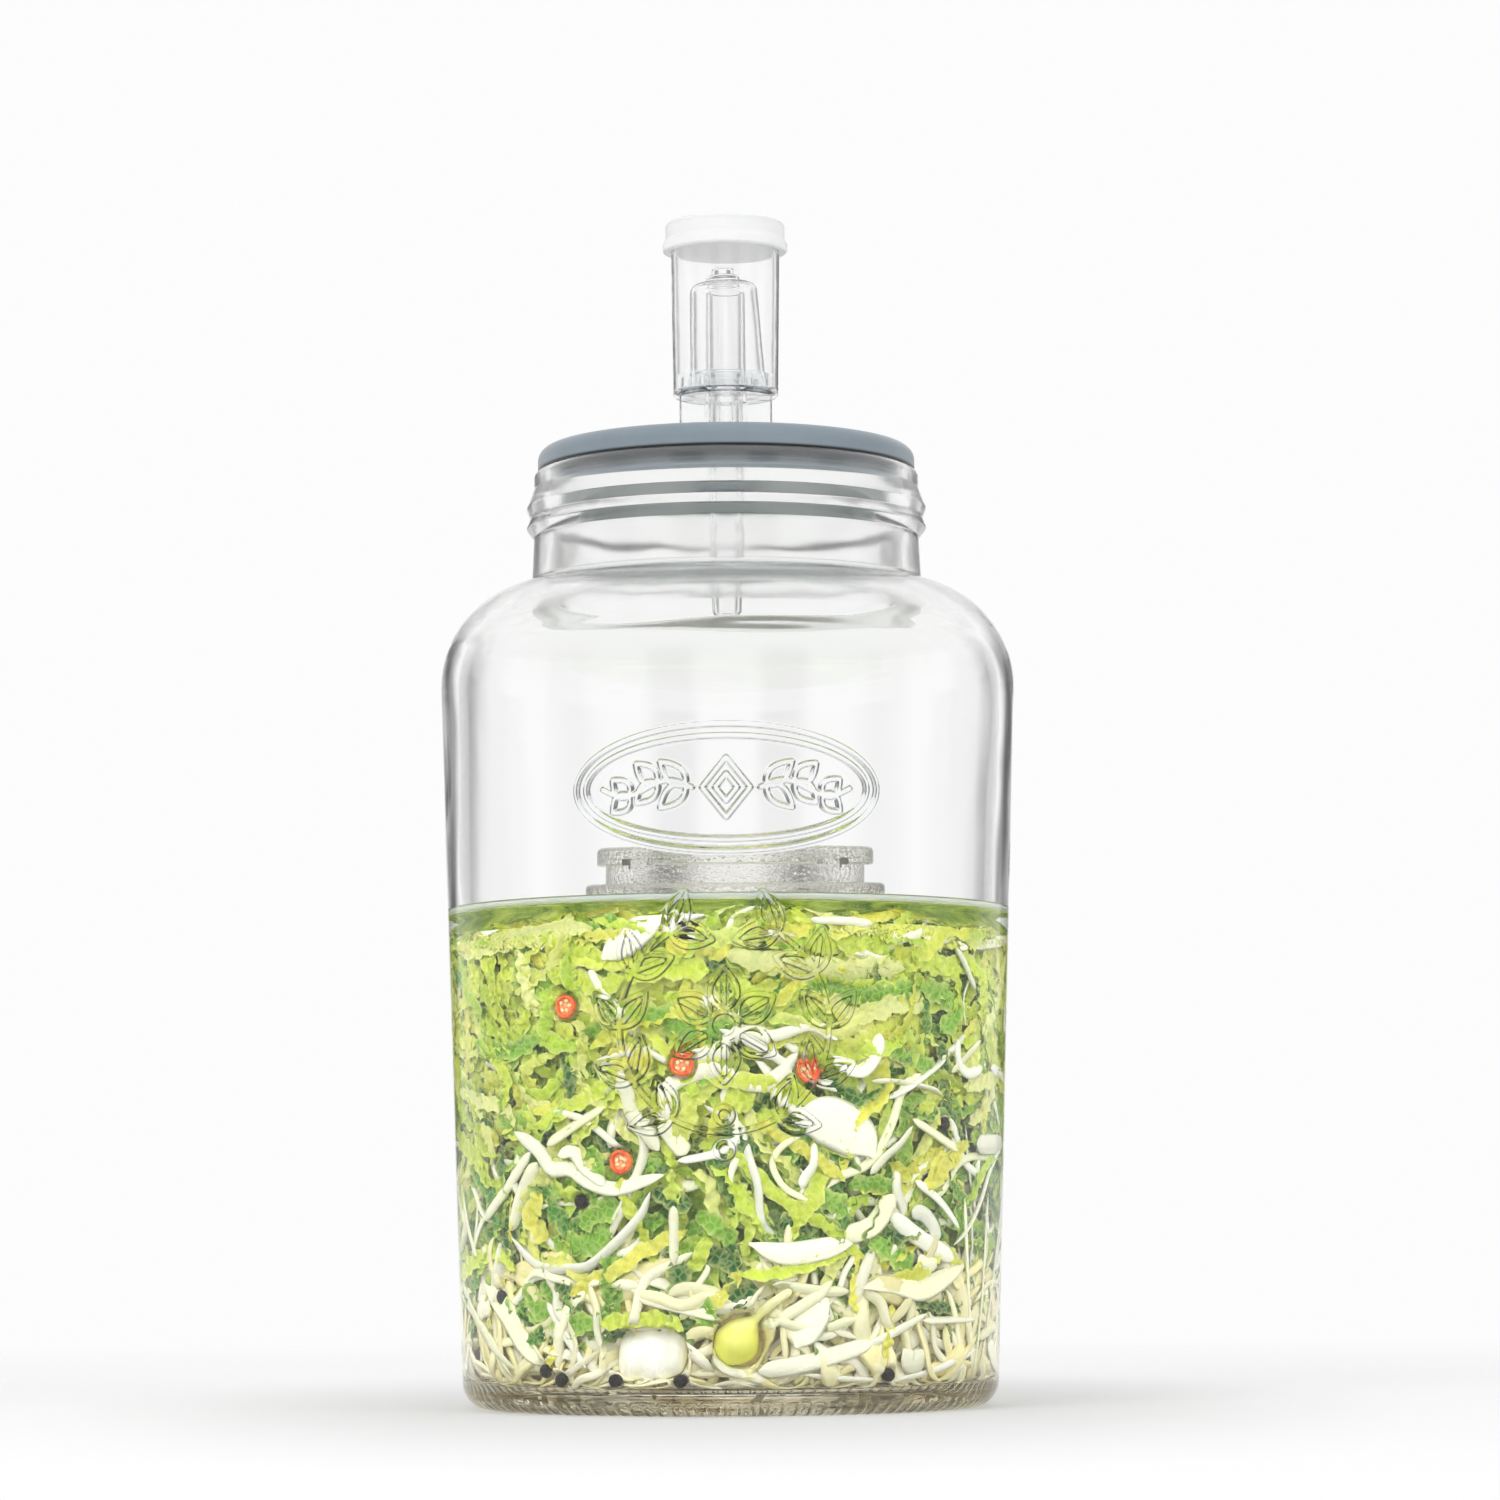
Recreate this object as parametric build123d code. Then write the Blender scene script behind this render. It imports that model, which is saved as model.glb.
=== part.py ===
"""Fermentation jar with silicone lid and three-piece airlock, packed with cabbage under a glass weight.

Millimetres, +Z up. The origin is the centre of the jar's bearing ring. -Y faces the viewer.
"""

import os
from math import cos, dist, hypot, radians, sin, sqrt, tan

from build123d import *

# Jar: outside
jar_height = 287.0
body_base_radius = 81.4
body_top_radius = 89.25
heel_radius = 8.0
shoulder_height = 246.8
shoulder_radius = 32.0
neck_base_height = 252.0
neck_base_radius = 60.2
neck_radius = 59.5
neck_root_rounding = 2.0
rim_outer_rounding = 2.0
rim_inner_rounding = 1.5

# Jar: walls and base
wall = 5.0
neck_wall = 5.5
base_thickness = 6.0
inner_heel_radius = 6.0
throat_rounding = 4.0
bearing_ring_width = 4.0
push_up = 2.5
push_up_radius = 60.0
push_up_rounding = 3.0
floor_dome_rounding = 30.0

# Jar: the two ring beads round the neck
bead_radius = 61.8
bead_valley_radius = 60.7
upper_bead_drop = 11.4
lower_bead_drop = 17.7
bead_upper_flank = 6.0
bead_lower_flank = 3.0
bead_rounding = 0.8
bead_root_rounding = 0.6

# Lid
lid_radius = 58.3
lid_thickness = 7.5
lid_edge_rounding = 4.0
lid_lower_rounding = 0.6
lid_web = 5.0
plug_depth = 7.4
plug_wall = 5.0
plug_rib_height = 0.8
plug_rib_half_width = 1.0
plug_rib_pitch = 3.0
plug_rib_count = 2
plug_gap = 0.3
boss_radius = 10.5
lid_corner_rounding = 1.2

# Airlock body: stem, flange and fins
stem_radius = 5.5
stem_wall = 1.3
stem_fit = 0.05
stem_reach = 35.3
stem_tip_radius = 4.6
stem_tip_taper = 2.5
stem_tip_chamfer = 0.7
airlock_flange_radius = 16.1
airlock_flange_thickness = 1.4
fin_count = 8
fin_radius = 15.2
fin_thickness = 1.3
fin_root = 0.6
fin_zone_height = 16.0

# Airlock body: cup and inner tube
cup_height = 53.5
cup_base_radius = 16.3
cup_rim_radius = 17.0
cup_wall = 1.2
cup_floor_thickness = 1.5
cup_base_rounding = 1.5
cup_inner_rounding = 1.0
tube_radius = 6.25
tube_top_radius = 6.0
tube_wall = 1.3
tube_height = 31.5

# Airlock bell
bell_base_radius = 11.8
bell_top_radius = 10.4
bell_wall = 1.0
bell_height = 34.0
bell_shoulder_rounding = 3.0
bell_knob_radius = 5.2
bell_knob_tip_radius = 3.4
bell_knob_step = 2.4
bell_knob_height = 5.2
bell_knob_rounding = 1.0
bell_offset = 0.8
bell_lean = 2.5

# Airlock cap
cap_radius = 18.5
cap_top_thickness = 1.5
cap_gap = 0.25
cap_skirt_height = 9.2
cap_edge_rounding = 1.5
cap_bead_radius = 19.4
cap_bead_height = 2.4
cap_bead_flare = 1.6
vent_count = 6
vent_radius = 0.8
vent_circle_radius = 9.5

# Airlock water
airlock_water_depth = 5.2

# Glass weight
weight_radius = 46.0
weight_waist_radius = 39.8
weight_upper_radius = 42.5
weight_lower_thickness = 4.3
weight_waist_height = 5.4
weight_upper_thickness = 5.6
weight_rounding = 1.6
weight_seat_height = 155.3
weight_offset = 2.0
weight_lean = 3.5
finger_slot_width = 11.0
finger_slot_height = 2.0
finger_slot_depth = 4.0
finger_slot_angle = 46.0

# Contents
brine_level = 149.5
brine_sleeve = 6.0
liquid_gap = 0.2
pack_floor_gap = 0.3
pale_layer_top = 44.0
green_shoulder_drop = 3.0
pack_seat_radius = 52.0
pack_crown_depth = 12.0

# Bundles of shreds that bulge out of the pack towards the glass, in staggered rows
bundle_radius = 5.6
bundle_bend = 30.0
bundle_sweep = 92.0
bundle_gap = 1.3
bundle_columns = 7
bundle_slants = [22, -12, 16, -24, 6, -18, 10]
pale_row_shares = [0.55]
green_row_shares = [0.17, 0.39, 0.61, 0.83]

# Small pieces in the brine: radius or size, then where each lies
skin = 0.5
low_rest_share = 0.72
peppercorn_radius = 2.1
peppercorn_angles = [-33.7, 52.6, -59.5, -44.6, -40.4, -26.2, -11.1, 36.9, -8.6]
peppercorn_height_shares = [0.418, 0.567, 0.230, 0.086, 0.066, 0.064, 0.068, 0.076, 0.942]
chilli_radius = 3.6
chilli_wall = 0.9
chilli_length = 2.0
chilli_angles = [-36.3, -9.9, 16.7, -23.6]
chilli_height_shares = [0.799, 0.682, 0.669, 0.494]
bulb_radius = 6.8
bulb_angle = 2.2
bulb_height_share = 0.155
bulb_stalk_radius = 2.4
bulb_stalk_length = 15.0
bulb_stalk_tilt = 48.0
core_width = 16.0
core_height = 12.0
core_depth = 9.0
core_rounding = 2.6
core_angle = -18.5
core_height_share = 0.12

overrun = 1.0
fillet_fill_share = 0.95

# Heights that follow
lid_top = jar_height + lid_thickness
plug_bottom = jar_height - plug_depth
web_underside = lid_top - lid_web
fin_bottom = lid_top + airlock_flange_thickness
cup_bottom = lid_top + fin_zone_height
cup_floor = cup_bottom + cup_floor_thickness
cap_underside = cup_bottom + cup_height
cap_top = cap_underside + cap_top_thickness
stem_tip = plug_bottom - stem_reach
weight_height = weight_lower_thickness + weight_waist_height + weight_upper_thickness

# Radii that follow
neck_bore = neck_radius - neck_wall
plug_rib_radius = neck_bore - plug_gap
plug_radius = plug_rib_radius - plug_rib_height
stem_bore = stem_radius - stem_wall
stem_tip_bore = stem_tip_radius - stem_wall
tube_bore = tube_radius - tube_wall
cup_inner_base_radius = cup_base_radius - cup_wall


def body_radius(height):
    """Outer radius of the jar's straight, slightly flared wall."""
    return body_base_radius + (body_top_radius - body_base_radius) * height / shoulder_height


def bore_radius(height):
    return body_radius(height) - wall


def shoulder_line(radius):
    """Height of the straight line that the shoulder's outside follows in to the neck."""
    slope = (neck_base_height - shoulder_height) / (body_top_radius - neck_base_radius)
    return shoulder_height + slope * (body_top_radius - radius)


def floor_line(radius):
    """Height of the sloping floor between the heel and the push-up."""
    slope = push_up / (bore_radius(0) - push_up_radius)
    return base_thickness + slope * (bore_radius(0) - radius)


def limited(corners, roundings):
    """Roundings cut back where two of them would be longer than the wall between them."""
    count = len(corners)
    reach = []
    for i, rounding in enumerate(roundings):
        into = Vector(*corners[i]) - Vector(*corners[i - 1])
        out = Vector(*corners[(i + 1) % count]) - Vector(*corners[i])
        reach.append(rounding * tan(radians(into.get_angle(out) / 2)))
    room = []
    for i in range(count):
        needed = reach[i - 1] + reach[i]
        length = dist(corners[i - 1], corners[i])
        room.append(1 if needed <= length else fillet_fill_share * length / needed)
    return [r * min(room[i], room[(i + 1) % count]) for i, r in enumerate(roundings)]


def turned(outline):
    """Solid of revolution about Z from corners of (radius, height, rounding)."""
    corners = [(radius, height) for radius, height, _ in outline]
    roundings = limited(corners, [rounding for *_, rounding in outline])
    profile = make_face(FilletPolyline(*corners, radius=roundings, close=True))
    return revolve(Plane.XZ * profile, Axis.Z)


def bead_outline():
    """Corners of the two beads, from the plain neck below them to the one above."""
    lower = jar_height - lower_bead_drop
    upper = jar_height - upper_bead_drop
    return [
        (neck_radius, lower - bead_lower_flank, bead_root_rounding),
        (bead_radius, lower, bead_rounding),
        (bead_valley_radius, (lower + upper) / 2, bead_root_rounding),
        (bead_radius, upper, bead_rounding),
        (neck_radius, upper + bead_upper_flank, bead_root_rounding),
    ]


def jar():
    ring_inner = body_base_radius - heel_radius - bearing_ring_width
    inner_top = bore_radius(shoulder_height)
    return turned(
        [
            (0, push_up, 0),
            (push_up_radius, push_up, push_up_rounding),
            (ring_inner, 0, push_up_rounding),
            (body_base_radius, 0, heel_radius),
            (body_top_radius, shoulder_height, shoulder_radius),
            (neck_base_radius, neck_base_height, neck_root_rounding),
            *bead_outline(),
            (neck_radius, jar_height, rim_outer_rounding),
            (neck_bore, jar_height, rim_inner_rounding),
            (neck_bore, shoulder_line(neck_bore) - wall, throat_rounding),
            (inner_top, shoulder_line(inner_top) - wall, shoulder_radius - wall),
            (bore_radius(0), base_thickness, inner_heel_radius),
            (push_up_radius, base_thickness + push_up, floor_dome_rounding),
            (0, base_thickness + push_up, 0),
        ]
    )


def lid():
    ribs = []
    for i in range(plug_rib_count):
        height = jar_height - plug_rib_pitch * (i + 1)
        ribs += [
            (plug_radius, height + plug_rib_half_width, 0),
            (plug_rib_radius, height, plug_rib_half_width / 2),
            (plug_radius, height - plug_rib_half_width, 0),
        ]
    bore = stem_radius + stem_fit
    return turned(
        [
            (bore, lid_top, 0),
            (lid_radius, lid_top, lid_edge_rounding),
            (lid_radius, jar_height, lid_lower_rounding),
            (plug_radius, jar_height, 0),
            *ribs,
            (plug_radius, plug_bottom, lid_corner_rounding),
            (plug_radius - plug_wall, plug_bottom, lid_corner_rounding),
            (plug_radius - plug_wall, web_underside, lid_corner_rounding),
            (boss_radius, web_underside, lid_corner_rounding),
            (boss_radius, plug_bottom, lid_corner_rounding),
            (bore, plug_bottom, 0),
        ]
    )


def airlock_body():
    shell = turned(
        [
            (stem_tip_bore, stem_tip, 0),
            (stem_tip_radius - stem_tip_chamfer, stem_tip, 0),
            (stem_tip_radius, stem_tip + stem_tip_taper, 0),
            (stem_radius, plug_bottom, 0),
            (stem_radius, lid_top, 0),
            (airlock_flange_radius, lid_top, 0),
            (airlock_flange_radius, fin_bottom, airlock_flange_thickness / 2),
            (tube_radius, fin_bottom, 0),
            (tube_radius, cup_bottom, 0),
            (cup_base_radius, cup_bottom, cup_base_rounding),
            (cup_rim_radius, cap_underside, 0),
            (cup_rim_radius - cup_wall, cap_underside, 0),
            (cup_inner_base_radius, cup_floor, cup_inner_rounding),
            (tube_radius, cup_floor, 0),
            (tube_top_radius, cup_floor + tube_height, tube_wall / 3),
            (tube_bore, cup_floor + tube_height, 0),
            (tube_bore, lid_top, 0),
            (stem_bore, plug_bottom, 0),
        ]
    )
    fin_length = fin_radius - tube_radius + fin_root
    fin_height = cup_bottom - fin_bottom + 2 * fin_root
    fin = Box(fin_length, fin_thickness, fin_height, align=(Align.MIN, Align.CENTER, Align.MIN))
    fin = Pos(tube_radius - fin_root, 0, fin_bottom - fin_root) * fin
    for i in range(fin_count):
        shell += Rot(0, 0, 360 / fin_count * (i + 0.5)) * fin
    return shell


def airlock_bell():
    top = bell_height
    inner_base = bell_base_radius - bell_wall
    inner_top = bell_top_radius - bell_wall
    bell = turned(
        [
            (inner_base, 0, 0),
            (bell_base_radius, 0, 0),
            (bell_top_radius, top, bell_shoulder_rounding),
            (bell_knob_radius, top, 0),
            (bell_knob_radius, top + bell_knob_step, bell_knob_rounding),
            (bell_knob_tip_radius, top + bell_knob_step, 0),
            (bell_knob_tip_radius, top + bell_knob_height, bell_knob_rounding),
            (0, top + bell_knob_height, 0),
            (0, top - bell_wall, 0),
            (inner_top, top - bell_wall, bell_shoulder_rounding - bell_wall),
        ]
    )
    lowest_edge = bell_base_radius * sin(radians(bell_lean))
    return Pos(bell_offset, 0, cup_floor + stem_fit + lowest_edge) * Rot(0, -bell_lean, 0) * bell


def airlock_cap():
    inner = cup_rim_radius + cap_gap
    bottom = cap_underside - cap_skirt_height + cap_top_thickness
    bead_top = bottom + cap_bead_height
    cap = turned(
        [
            (0, cap_underside, 0),
            (inner, cap_underside, 0),
            (inner, bottom, 0),
            (cap_bead_radius, bottom, cap_bead_height / 3),
            (cap_bead_radius, bead_top, cap_bead_height / 3),
            (cap_radius, bead_top + cap_bead_flare, 0),
            (cap_radius, cap_top, cap_edge_rounding),
            (0, cap_top, 0),
        ]
    )
    vent = Pos(vent_circle_radius, 0, cap_underside - overrun) * Cylinder(
        vent_radius,
        cap_top_thickness + 2 * overrun,
        align=(Align.CENTER, Align.CENTER, Align.MIN),
    )
    for i in range(vent_count):
        cap -= Rot(0, 0, 360 / vent_count * i) * vent
    return cap


def airlock_water():
    """Ring of water on the cup's floor, with a slot that the bell's rim stands in."""
    surface = cup_floor + airlock_water_depth
    bottom = cup_floor + liquid_gap
    outer = cup_inner_base_radius - liquid_gap
    ring = turned(
        [
            (tube_radius + liquid_gap, bottom, 0),
            (outer, bottom, cup_inner_rounding),
            (outer, surface, 0),
            (tube_radius + liquid_gap, surface, 0),
        ]
    )
    slot = turned(
        [
            (bell_base_radius - bell_wall - 2 * plug_gap, cup_floor - overrun, 0),
            (bell_base_radius + 2 * plug_gap, cup_floor - overrun, 0),
            (bell_base_radius + 2 * plug_gap, surface + overrun, 0),
            (bell_base_radius - bell_wall - 2 * plug_gap, surface + overrun, 0),
        ]
    )
    return ring - Pos(bell_offset, 0, 0) * slot


def seat_plane():
    """Where the weight's underside lies on the pack: a little to the right, and front edge down."""
    return Pos(weight_offset, 0, weight_seat_height) * Rot(weight_lean, 0, 0)


def glass_weight():
    waist_top = weight_lower_thickness + weight_waist_height
    weight = turned(
        [
            (0, 0, 0),
            (weight_radius, 0, weight_rounding),
            (weight_radius, weight_lower_thickness, weight_rounding),
            (weight_waist_radius, weight_lower_thickness, 0),
            (weight_waist_radius, waist_top, 0),
            (weight_upper_radius, waist_top, weight_rounding / 2),
            (weight_upper_radius, weight_height, weight_rounding),
            (0, weight_height, 0),
        ]
    )
    slot = Box(
        finger_slot_depth + overrun,
        finger_slot_width,
        finger_slot_height + overrun,
        align=(Align.MIN, Align.CENTER, Align.MIN),
    )
    slot = Pos(weight_upper_radius - finger_slot_depth, 0, waist_top - overrun) * slot
    for angle in (-finger_slot_angle, finger_slot_angle):
        weight -= Rot(0, 0, angle - 90) * slot
    return seat_plane() * weight


def filling(side_gap, floor_gap, top):
    """The jar's inside up to a level, drawn in from the wall and from the floor."""
    heel = max(inner_heel_radius - side_gap, 0)
    foot = bore_radius(0) - side_gap
    return turned(
        [
            (0, base_thickness + push_up + floor_gap, 0),
            (push_up_radius, base_thickness + push_up + floor_gap, floor_dome_rounding),
            (foot, floor_line(foot) + floor_gap, heel),
            (bore_radius(top) - side_gap, top, 0),
            (0, top, 0),
        ]
    )


def bundle(angle, height, slant, growth):
    """Shreds that lie together: an arc that bulges towards the glass and dives in again at both ends."""
    distance = bore_radius(height) - bundle_gap - bundle_radius - bundle_bend
    turn = radians(angle)
    place = Pos(distance * sin(turn), -distance * cos(turn), height) * Rot(0, 0, angle - 90)
    arc = Torus(bundle_bend, bundle_radius + growth, major_angle=bundle_sweep, align=None)
    return place * Rot(slant, 0, 0) * Rot(0, 0, -bundle_sweep / 2) * arc


def bundles(bottom, top, row_shares, growth):
    """Rows of bundles in one layer of the pack, each row half a step round from the one below."""
    for row, share in enumerate(row_shares):
        for column in range(bundle_columns):
            angle = (column + row / 2) * 360 / bundle_columns
            slant = bundle_slants[(column + 2 * row) % len(bundle_slants)]
            yield bundle(angle, bottom + share * (top - bottom), slant, growth)


def pale_bundles(growth=0):
    return bundles(base_thickness, pale_layer_top, pale_row_shares, growth)


def cabbage_pale():
    return filling(brine_sleeve, pack_floor_gap, pale_layer_top) + list(pale_bundles())


def cabbage_green(growth=0):
    """Main pack: sides with bundles of shreds under the brine and a raised seat for the weight."""
    bottom = pale_layer_top + liquid_gap
    edge_top = brine_level - green_shoulder_drop
    side_gap = brine_sleeve - growth
    pack = turned(
        [
            (0, bottom, 0),
            (bore_radius(bottom) - side_gap, bottom, 0),
            (bore_radius(edge_top) - side_gap, edge_top + growth, 0),
            (0, edge_top + growth, 0),
        ]
    )
    pack += list(bundles(bottom, edge_top, green_row_shares, growth))
    crown = Cylinder(
        pack_seat_radius + growth,
        pack_crown_depth - liquid_gap,
        align=(Align.CENTER, Align.CENTER, Align.MAX),
    )
    return pack + seat_plane() * Pos(0, 0, -liquid_gap) * crown


def cavity_radius(height, reach):
    """How far from the axis a piece of this reach can lie, at a height, clear of the wall and heel."""
    inset = reach + skin
    above_heel = base_thickness + inner_heel_radius - height
    if above_heel <= 0:
        return bore_radius(height) - inset
    room = max(inner_heel_radius - inset, 0) ** 2 - above_heel**2
    return bore_radius(0) - inner_heel_radius + sqrt(max(room, 0))


def against_wall(angle, height, reach, span=0):
    """Place on the inside of the glass: X points outwards. Angle 0 is the front, and it grows to the right.

    The span is how far below that height the piece still has to clear the flared wall.
    """
    distance = cavity_radius(height - span, reach)
    turn = radians(angle)
    return Pos(distance * sin(turn), -distance * cos(turn), height) * Rot(0, 0, angle - 90)


def resting_height(share):
    """A share of the brine's level, but no lower than where a small ball lies in the heel."""
    return max(share * brine_level, base_thickness + low_rest_share * inner_heel_radius)


def pocket(place, radius, depth):
    """Round room for a piece, open towards the glass."""
    room = Cylinder(
        radius + liquid_gap,
        depth + liquid_gap + skin + overrun,
        align=(Align.CENTER, Align.CENTER, Align.MIN),
    )
    return place * Pos(-depth / 2 - liquid_gap, 0, 0) * Rot(0, 90, 0) * room


def peppercorn_seats():
    for angle, share in zip(peppercorn_angles, peppercorn_height_shares):
        yield against_wall(angle, resting_height(share), peppercorn_radius)


def chilli_seats():
    for angle, share in zip(chilli_angles, chilli_height_shares):
        yield against_wall(angle, share * brine_level, chilli_length / 2, chilli_radius)


def chilli_ring():
    """Ring cut across a small chilli, lying flat against the glass."""
    ring = Cylinder(chilli_radius, chilli_length)
    ring -= Cylinder(chilli_radius - chilli_wall, chilli_length + 2 * overrun)
    return Rot(0, 90, 0) * ring


def bulb_seat():
    return against_wall(bulb_angle, bulb_height_share * brine_level, bulb_radius)


def bulb_stalk(growth=0):
    stalk = Cylinder(
        bulb_stalk_radius + growth,
        bulb_stalk_length + growth,
        align=(Align.CENTER, Align.CENTER, Align.MIN),
    )
    return Rot(-bulb_stalk_tilt, 0, 0) * stalk


def onion_bulb():
    return bulb_seat() * (Sphere(bulb_radius) + bulb_stalk())


def cabbage_core(growth=0):
    corner = hypot(core_depth, core_width) / 2
    place = against_wall(core_angle, core_height_share * brine_level, corner + liquid_gap)
    block = Box(core_depth + 2 * growth, core_width + 2 * growth, core_height + 2 * growth)
    return place * fillet(block.edges(), core_rounding + growth)


def pockets():
    """Room in the liquid and in the pack for every small piece."""
    yield bulb_seat() * bulb_stalk(liquid_gap)
    yield pocket(bulb_seat(), bulb_radius, 2 * bulb_radius)
    yield cabbage_core(liquid_gap)
    for seat in peppercorn_seats():
        yield pocket(seat, peppercorn_radius, 2 * peppercorn_radius)
    for seat in chilli_seats():
        yield pocket(seat, chilli_radius, chilli_length)


def brine():
    """Liquid between the pack and the glass."""
    liquid = filling(liquid_gap, liquid_gap, brine_level)
    column = brine_sleeve - liquid_gap
    pack = turned(
        [
            (0, 0, 0),
            (bore_radius(0) - column, 0, 0),
            (bore_radius(pale_layer_top) - column, pale_layer_top, 0),
            (0, pale_layer_top, 0),
        ]
    )
    liquid -= [pack, *pale_bundles(liquid_gap)]
    return liquid - cabbage_green(liquid_gap)


def write(name, solid):
    export_step(solid, f"parts/{name}.step")


def main():
    os.makedirs("parts", exist_ok=True)
    rooms = list(pockets())
    write("jar", jar())
    write("lid", lid())
    write("airlock_body", airlock_body())
    write("airlock_bell", airlock_bell())
    write("airlock_cap", airlock_cap())
    write("airlock_water", airlock_water())
    write("glass_weight", glass_weight())
    write("brine", brine() - rooms)
    write("cabbage_pale", cabbage_pale() - rooms)
    write("cabbage_green", cabbage_green() - rooms)
    write("onion_bulb", onion_bulb())
    write("cabbage_core", cabbage_core())
    for i, seat in enumerate(peppercorn_seats(), 1):
        write(f"peppercorn_{i}", seat * Sphere(peppercorn_radius))
    for i, seat in enumerate(chilli_seats(), 1):
        write(f"chilli_ring_{i}", seat * chilli_ring())


main()
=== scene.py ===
"""Fermentation jar with airlock: looks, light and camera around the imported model.

Sizes are in millimetres, and meshes are turned into metres as they are made. Shader nodes and lamps
work in metres. An angle of 0 is the jar's front (-Y), and angles grow to the right (+X).
"""

from math import ceil, cos, degrees, pi, radians, sin

import bpy
import numpy as np
from mathutils import Matrix, Vector, kdtree


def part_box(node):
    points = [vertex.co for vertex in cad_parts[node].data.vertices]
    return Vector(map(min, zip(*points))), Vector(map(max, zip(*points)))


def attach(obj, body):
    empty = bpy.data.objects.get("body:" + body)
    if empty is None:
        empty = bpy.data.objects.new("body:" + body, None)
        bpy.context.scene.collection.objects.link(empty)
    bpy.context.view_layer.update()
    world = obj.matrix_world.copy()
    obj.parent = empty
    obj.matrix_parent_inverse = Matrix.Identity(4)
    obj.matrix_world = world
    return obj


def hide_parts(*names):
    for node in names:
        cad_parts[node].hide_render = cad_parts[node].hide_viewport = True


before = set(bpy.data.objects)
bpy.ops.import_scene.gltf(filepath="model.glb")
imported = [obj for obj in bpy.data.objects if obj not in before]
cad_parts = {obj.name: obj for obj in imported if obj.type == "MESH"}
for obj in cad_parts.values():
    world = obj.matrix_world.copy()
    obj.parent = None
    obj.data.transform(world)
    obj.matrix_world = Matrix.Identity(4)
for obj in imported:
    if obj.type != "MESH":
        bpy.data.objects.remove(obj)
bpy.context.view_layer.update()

MM = 0.001
RANDOM_SEED = 11

# Camera, solved from the photograph
CAMERA_DISTANCE = 1520.0
CAMERA_HEIGHT = 59.6
CAMERA_PITCH = 5.31
CAMERA_YAW = 0.26
CAMERA_ROLL = 0.32
LENS = 118.8
SENSOR = 36.0

# Studio: brightness of the white all round, and of the world to light that leaves through glass
STUDIO_WHITE = 0.98
BEHIND_GLASS = 2.35

# Jar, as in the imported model
JAR_HEIGHT = 287.0
BODY_BASE_RADIUS = 81.4
BODY_TOP_RADIUS = 89.25
HEEL_RADIUS = 8.0
SHOULDER_HEIGHT = 246.8
SHOULDER_RADIUS = 32.0
NECK_BASE_HEIGHT = 252.0
NECK_BASE_RADIUS = 60.2
NECK_RADIUS = 59.5
NECK_BORE = 54.0
WALL = 5.0
BASE_THICKNESS = 6.0
PUSH_UP = 2.5
PUSH_UP_RADIUS = 60.0
RING_INNER_RADIUS = 69.4
BEAD_RADIUS = 61.8
BEAD_VALLEY_RADIUS = 60.7
BEAD_DROPS = (17.7, 11.4)
BEAD_FLANKS = (3.0, 6.0)

# Glass: which part of the jar has which look, in the order of its material slots
DRY, WET, FOOT, THROAT, HAZE = range(5)
FOOT_HEIGHT = 6.5
FOOT_BARS = 120.0
THROAT_HEIGHT = 238.0
HAZE_WIDTH = 7.0
HAZE_TOP = 251.0
CLEAR_GLASS = (0.985, 0.99, 0.985)
GLASS_IOR = 1.5
WATER_IOR = 1.333
GLASS_IN_WATER_IOR = 1.125

# Silicone lid, in metres: from its plug up to its underside, over which its painted shade runs
PLUG_HEIGHT = 0.278
LID_HEIGHT = 0.289

# Raised ornament on the jar's front
ORNAMENT_FLOOR = 70.0
ORNAMENT_TOP = 204.0
ORNAMENT_HALF_ANGLE = 38.0
OVAL_MIDDLE = (-0.5, 182.0)
WREATH_MIDDLE = (-1.5, 113.0)
WREATH_RADIUS = 31.0
WREATH_PLACES = 11
STROKE_STEP = 0.2
STROKE_HEIGHT = 0.8
STROKE_FLAT = 0.35
STROKE_FOOT = 1.15
WIDEST_RADIUS = 88.3
# Painted shade along the strokes: its reach from a stroke's middle, half width, share on the lit side and
# share above the brine
PAINTED_EDGE_LINE = 0.8
PAINTED_LINE_HALF_WIDTH = 0.4
LIT_SIDE_SHADE_SHARE = 0.55
DRY_SHADE_SHARE = 0.6

# Contents. Shreds are laid out flat, and FLAT_RADIUS turns their place across into an angle.
FLAT_RADIUS = 80.0
BRINE_LEVEL = 149.5
MENISCUS = 2.4
PACK_FLOOR = 9.5
SHRED_DROP = 2.6
PACK_DEPTH = 10.5
PACK_FRONT_DROP = 1.8
PACK_EDGE_DROP = 5.0
PRESSED_HEIGHT = 4.0
SEAT_HEIGHT = 155.3
SEAT_RADIUS = 52.0
SEAT_OFFSET = 2.0
SEAT_LEAN = 3.5
BULB_RADIUS = 6.8
BULB_LENGTH = 29.0
BULB_SHIFT = 3.5
CHILLI_RADIUS = 3.6
CHILLI_SKIN = 1.3
CHILLI_SEEDS = 5


# Meshes


def new_object(name, data):
    obj = bpy.data.objects.new(name, data)
    bpy.context.scene.collection.objects.link(obj)
    return obj


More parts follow.
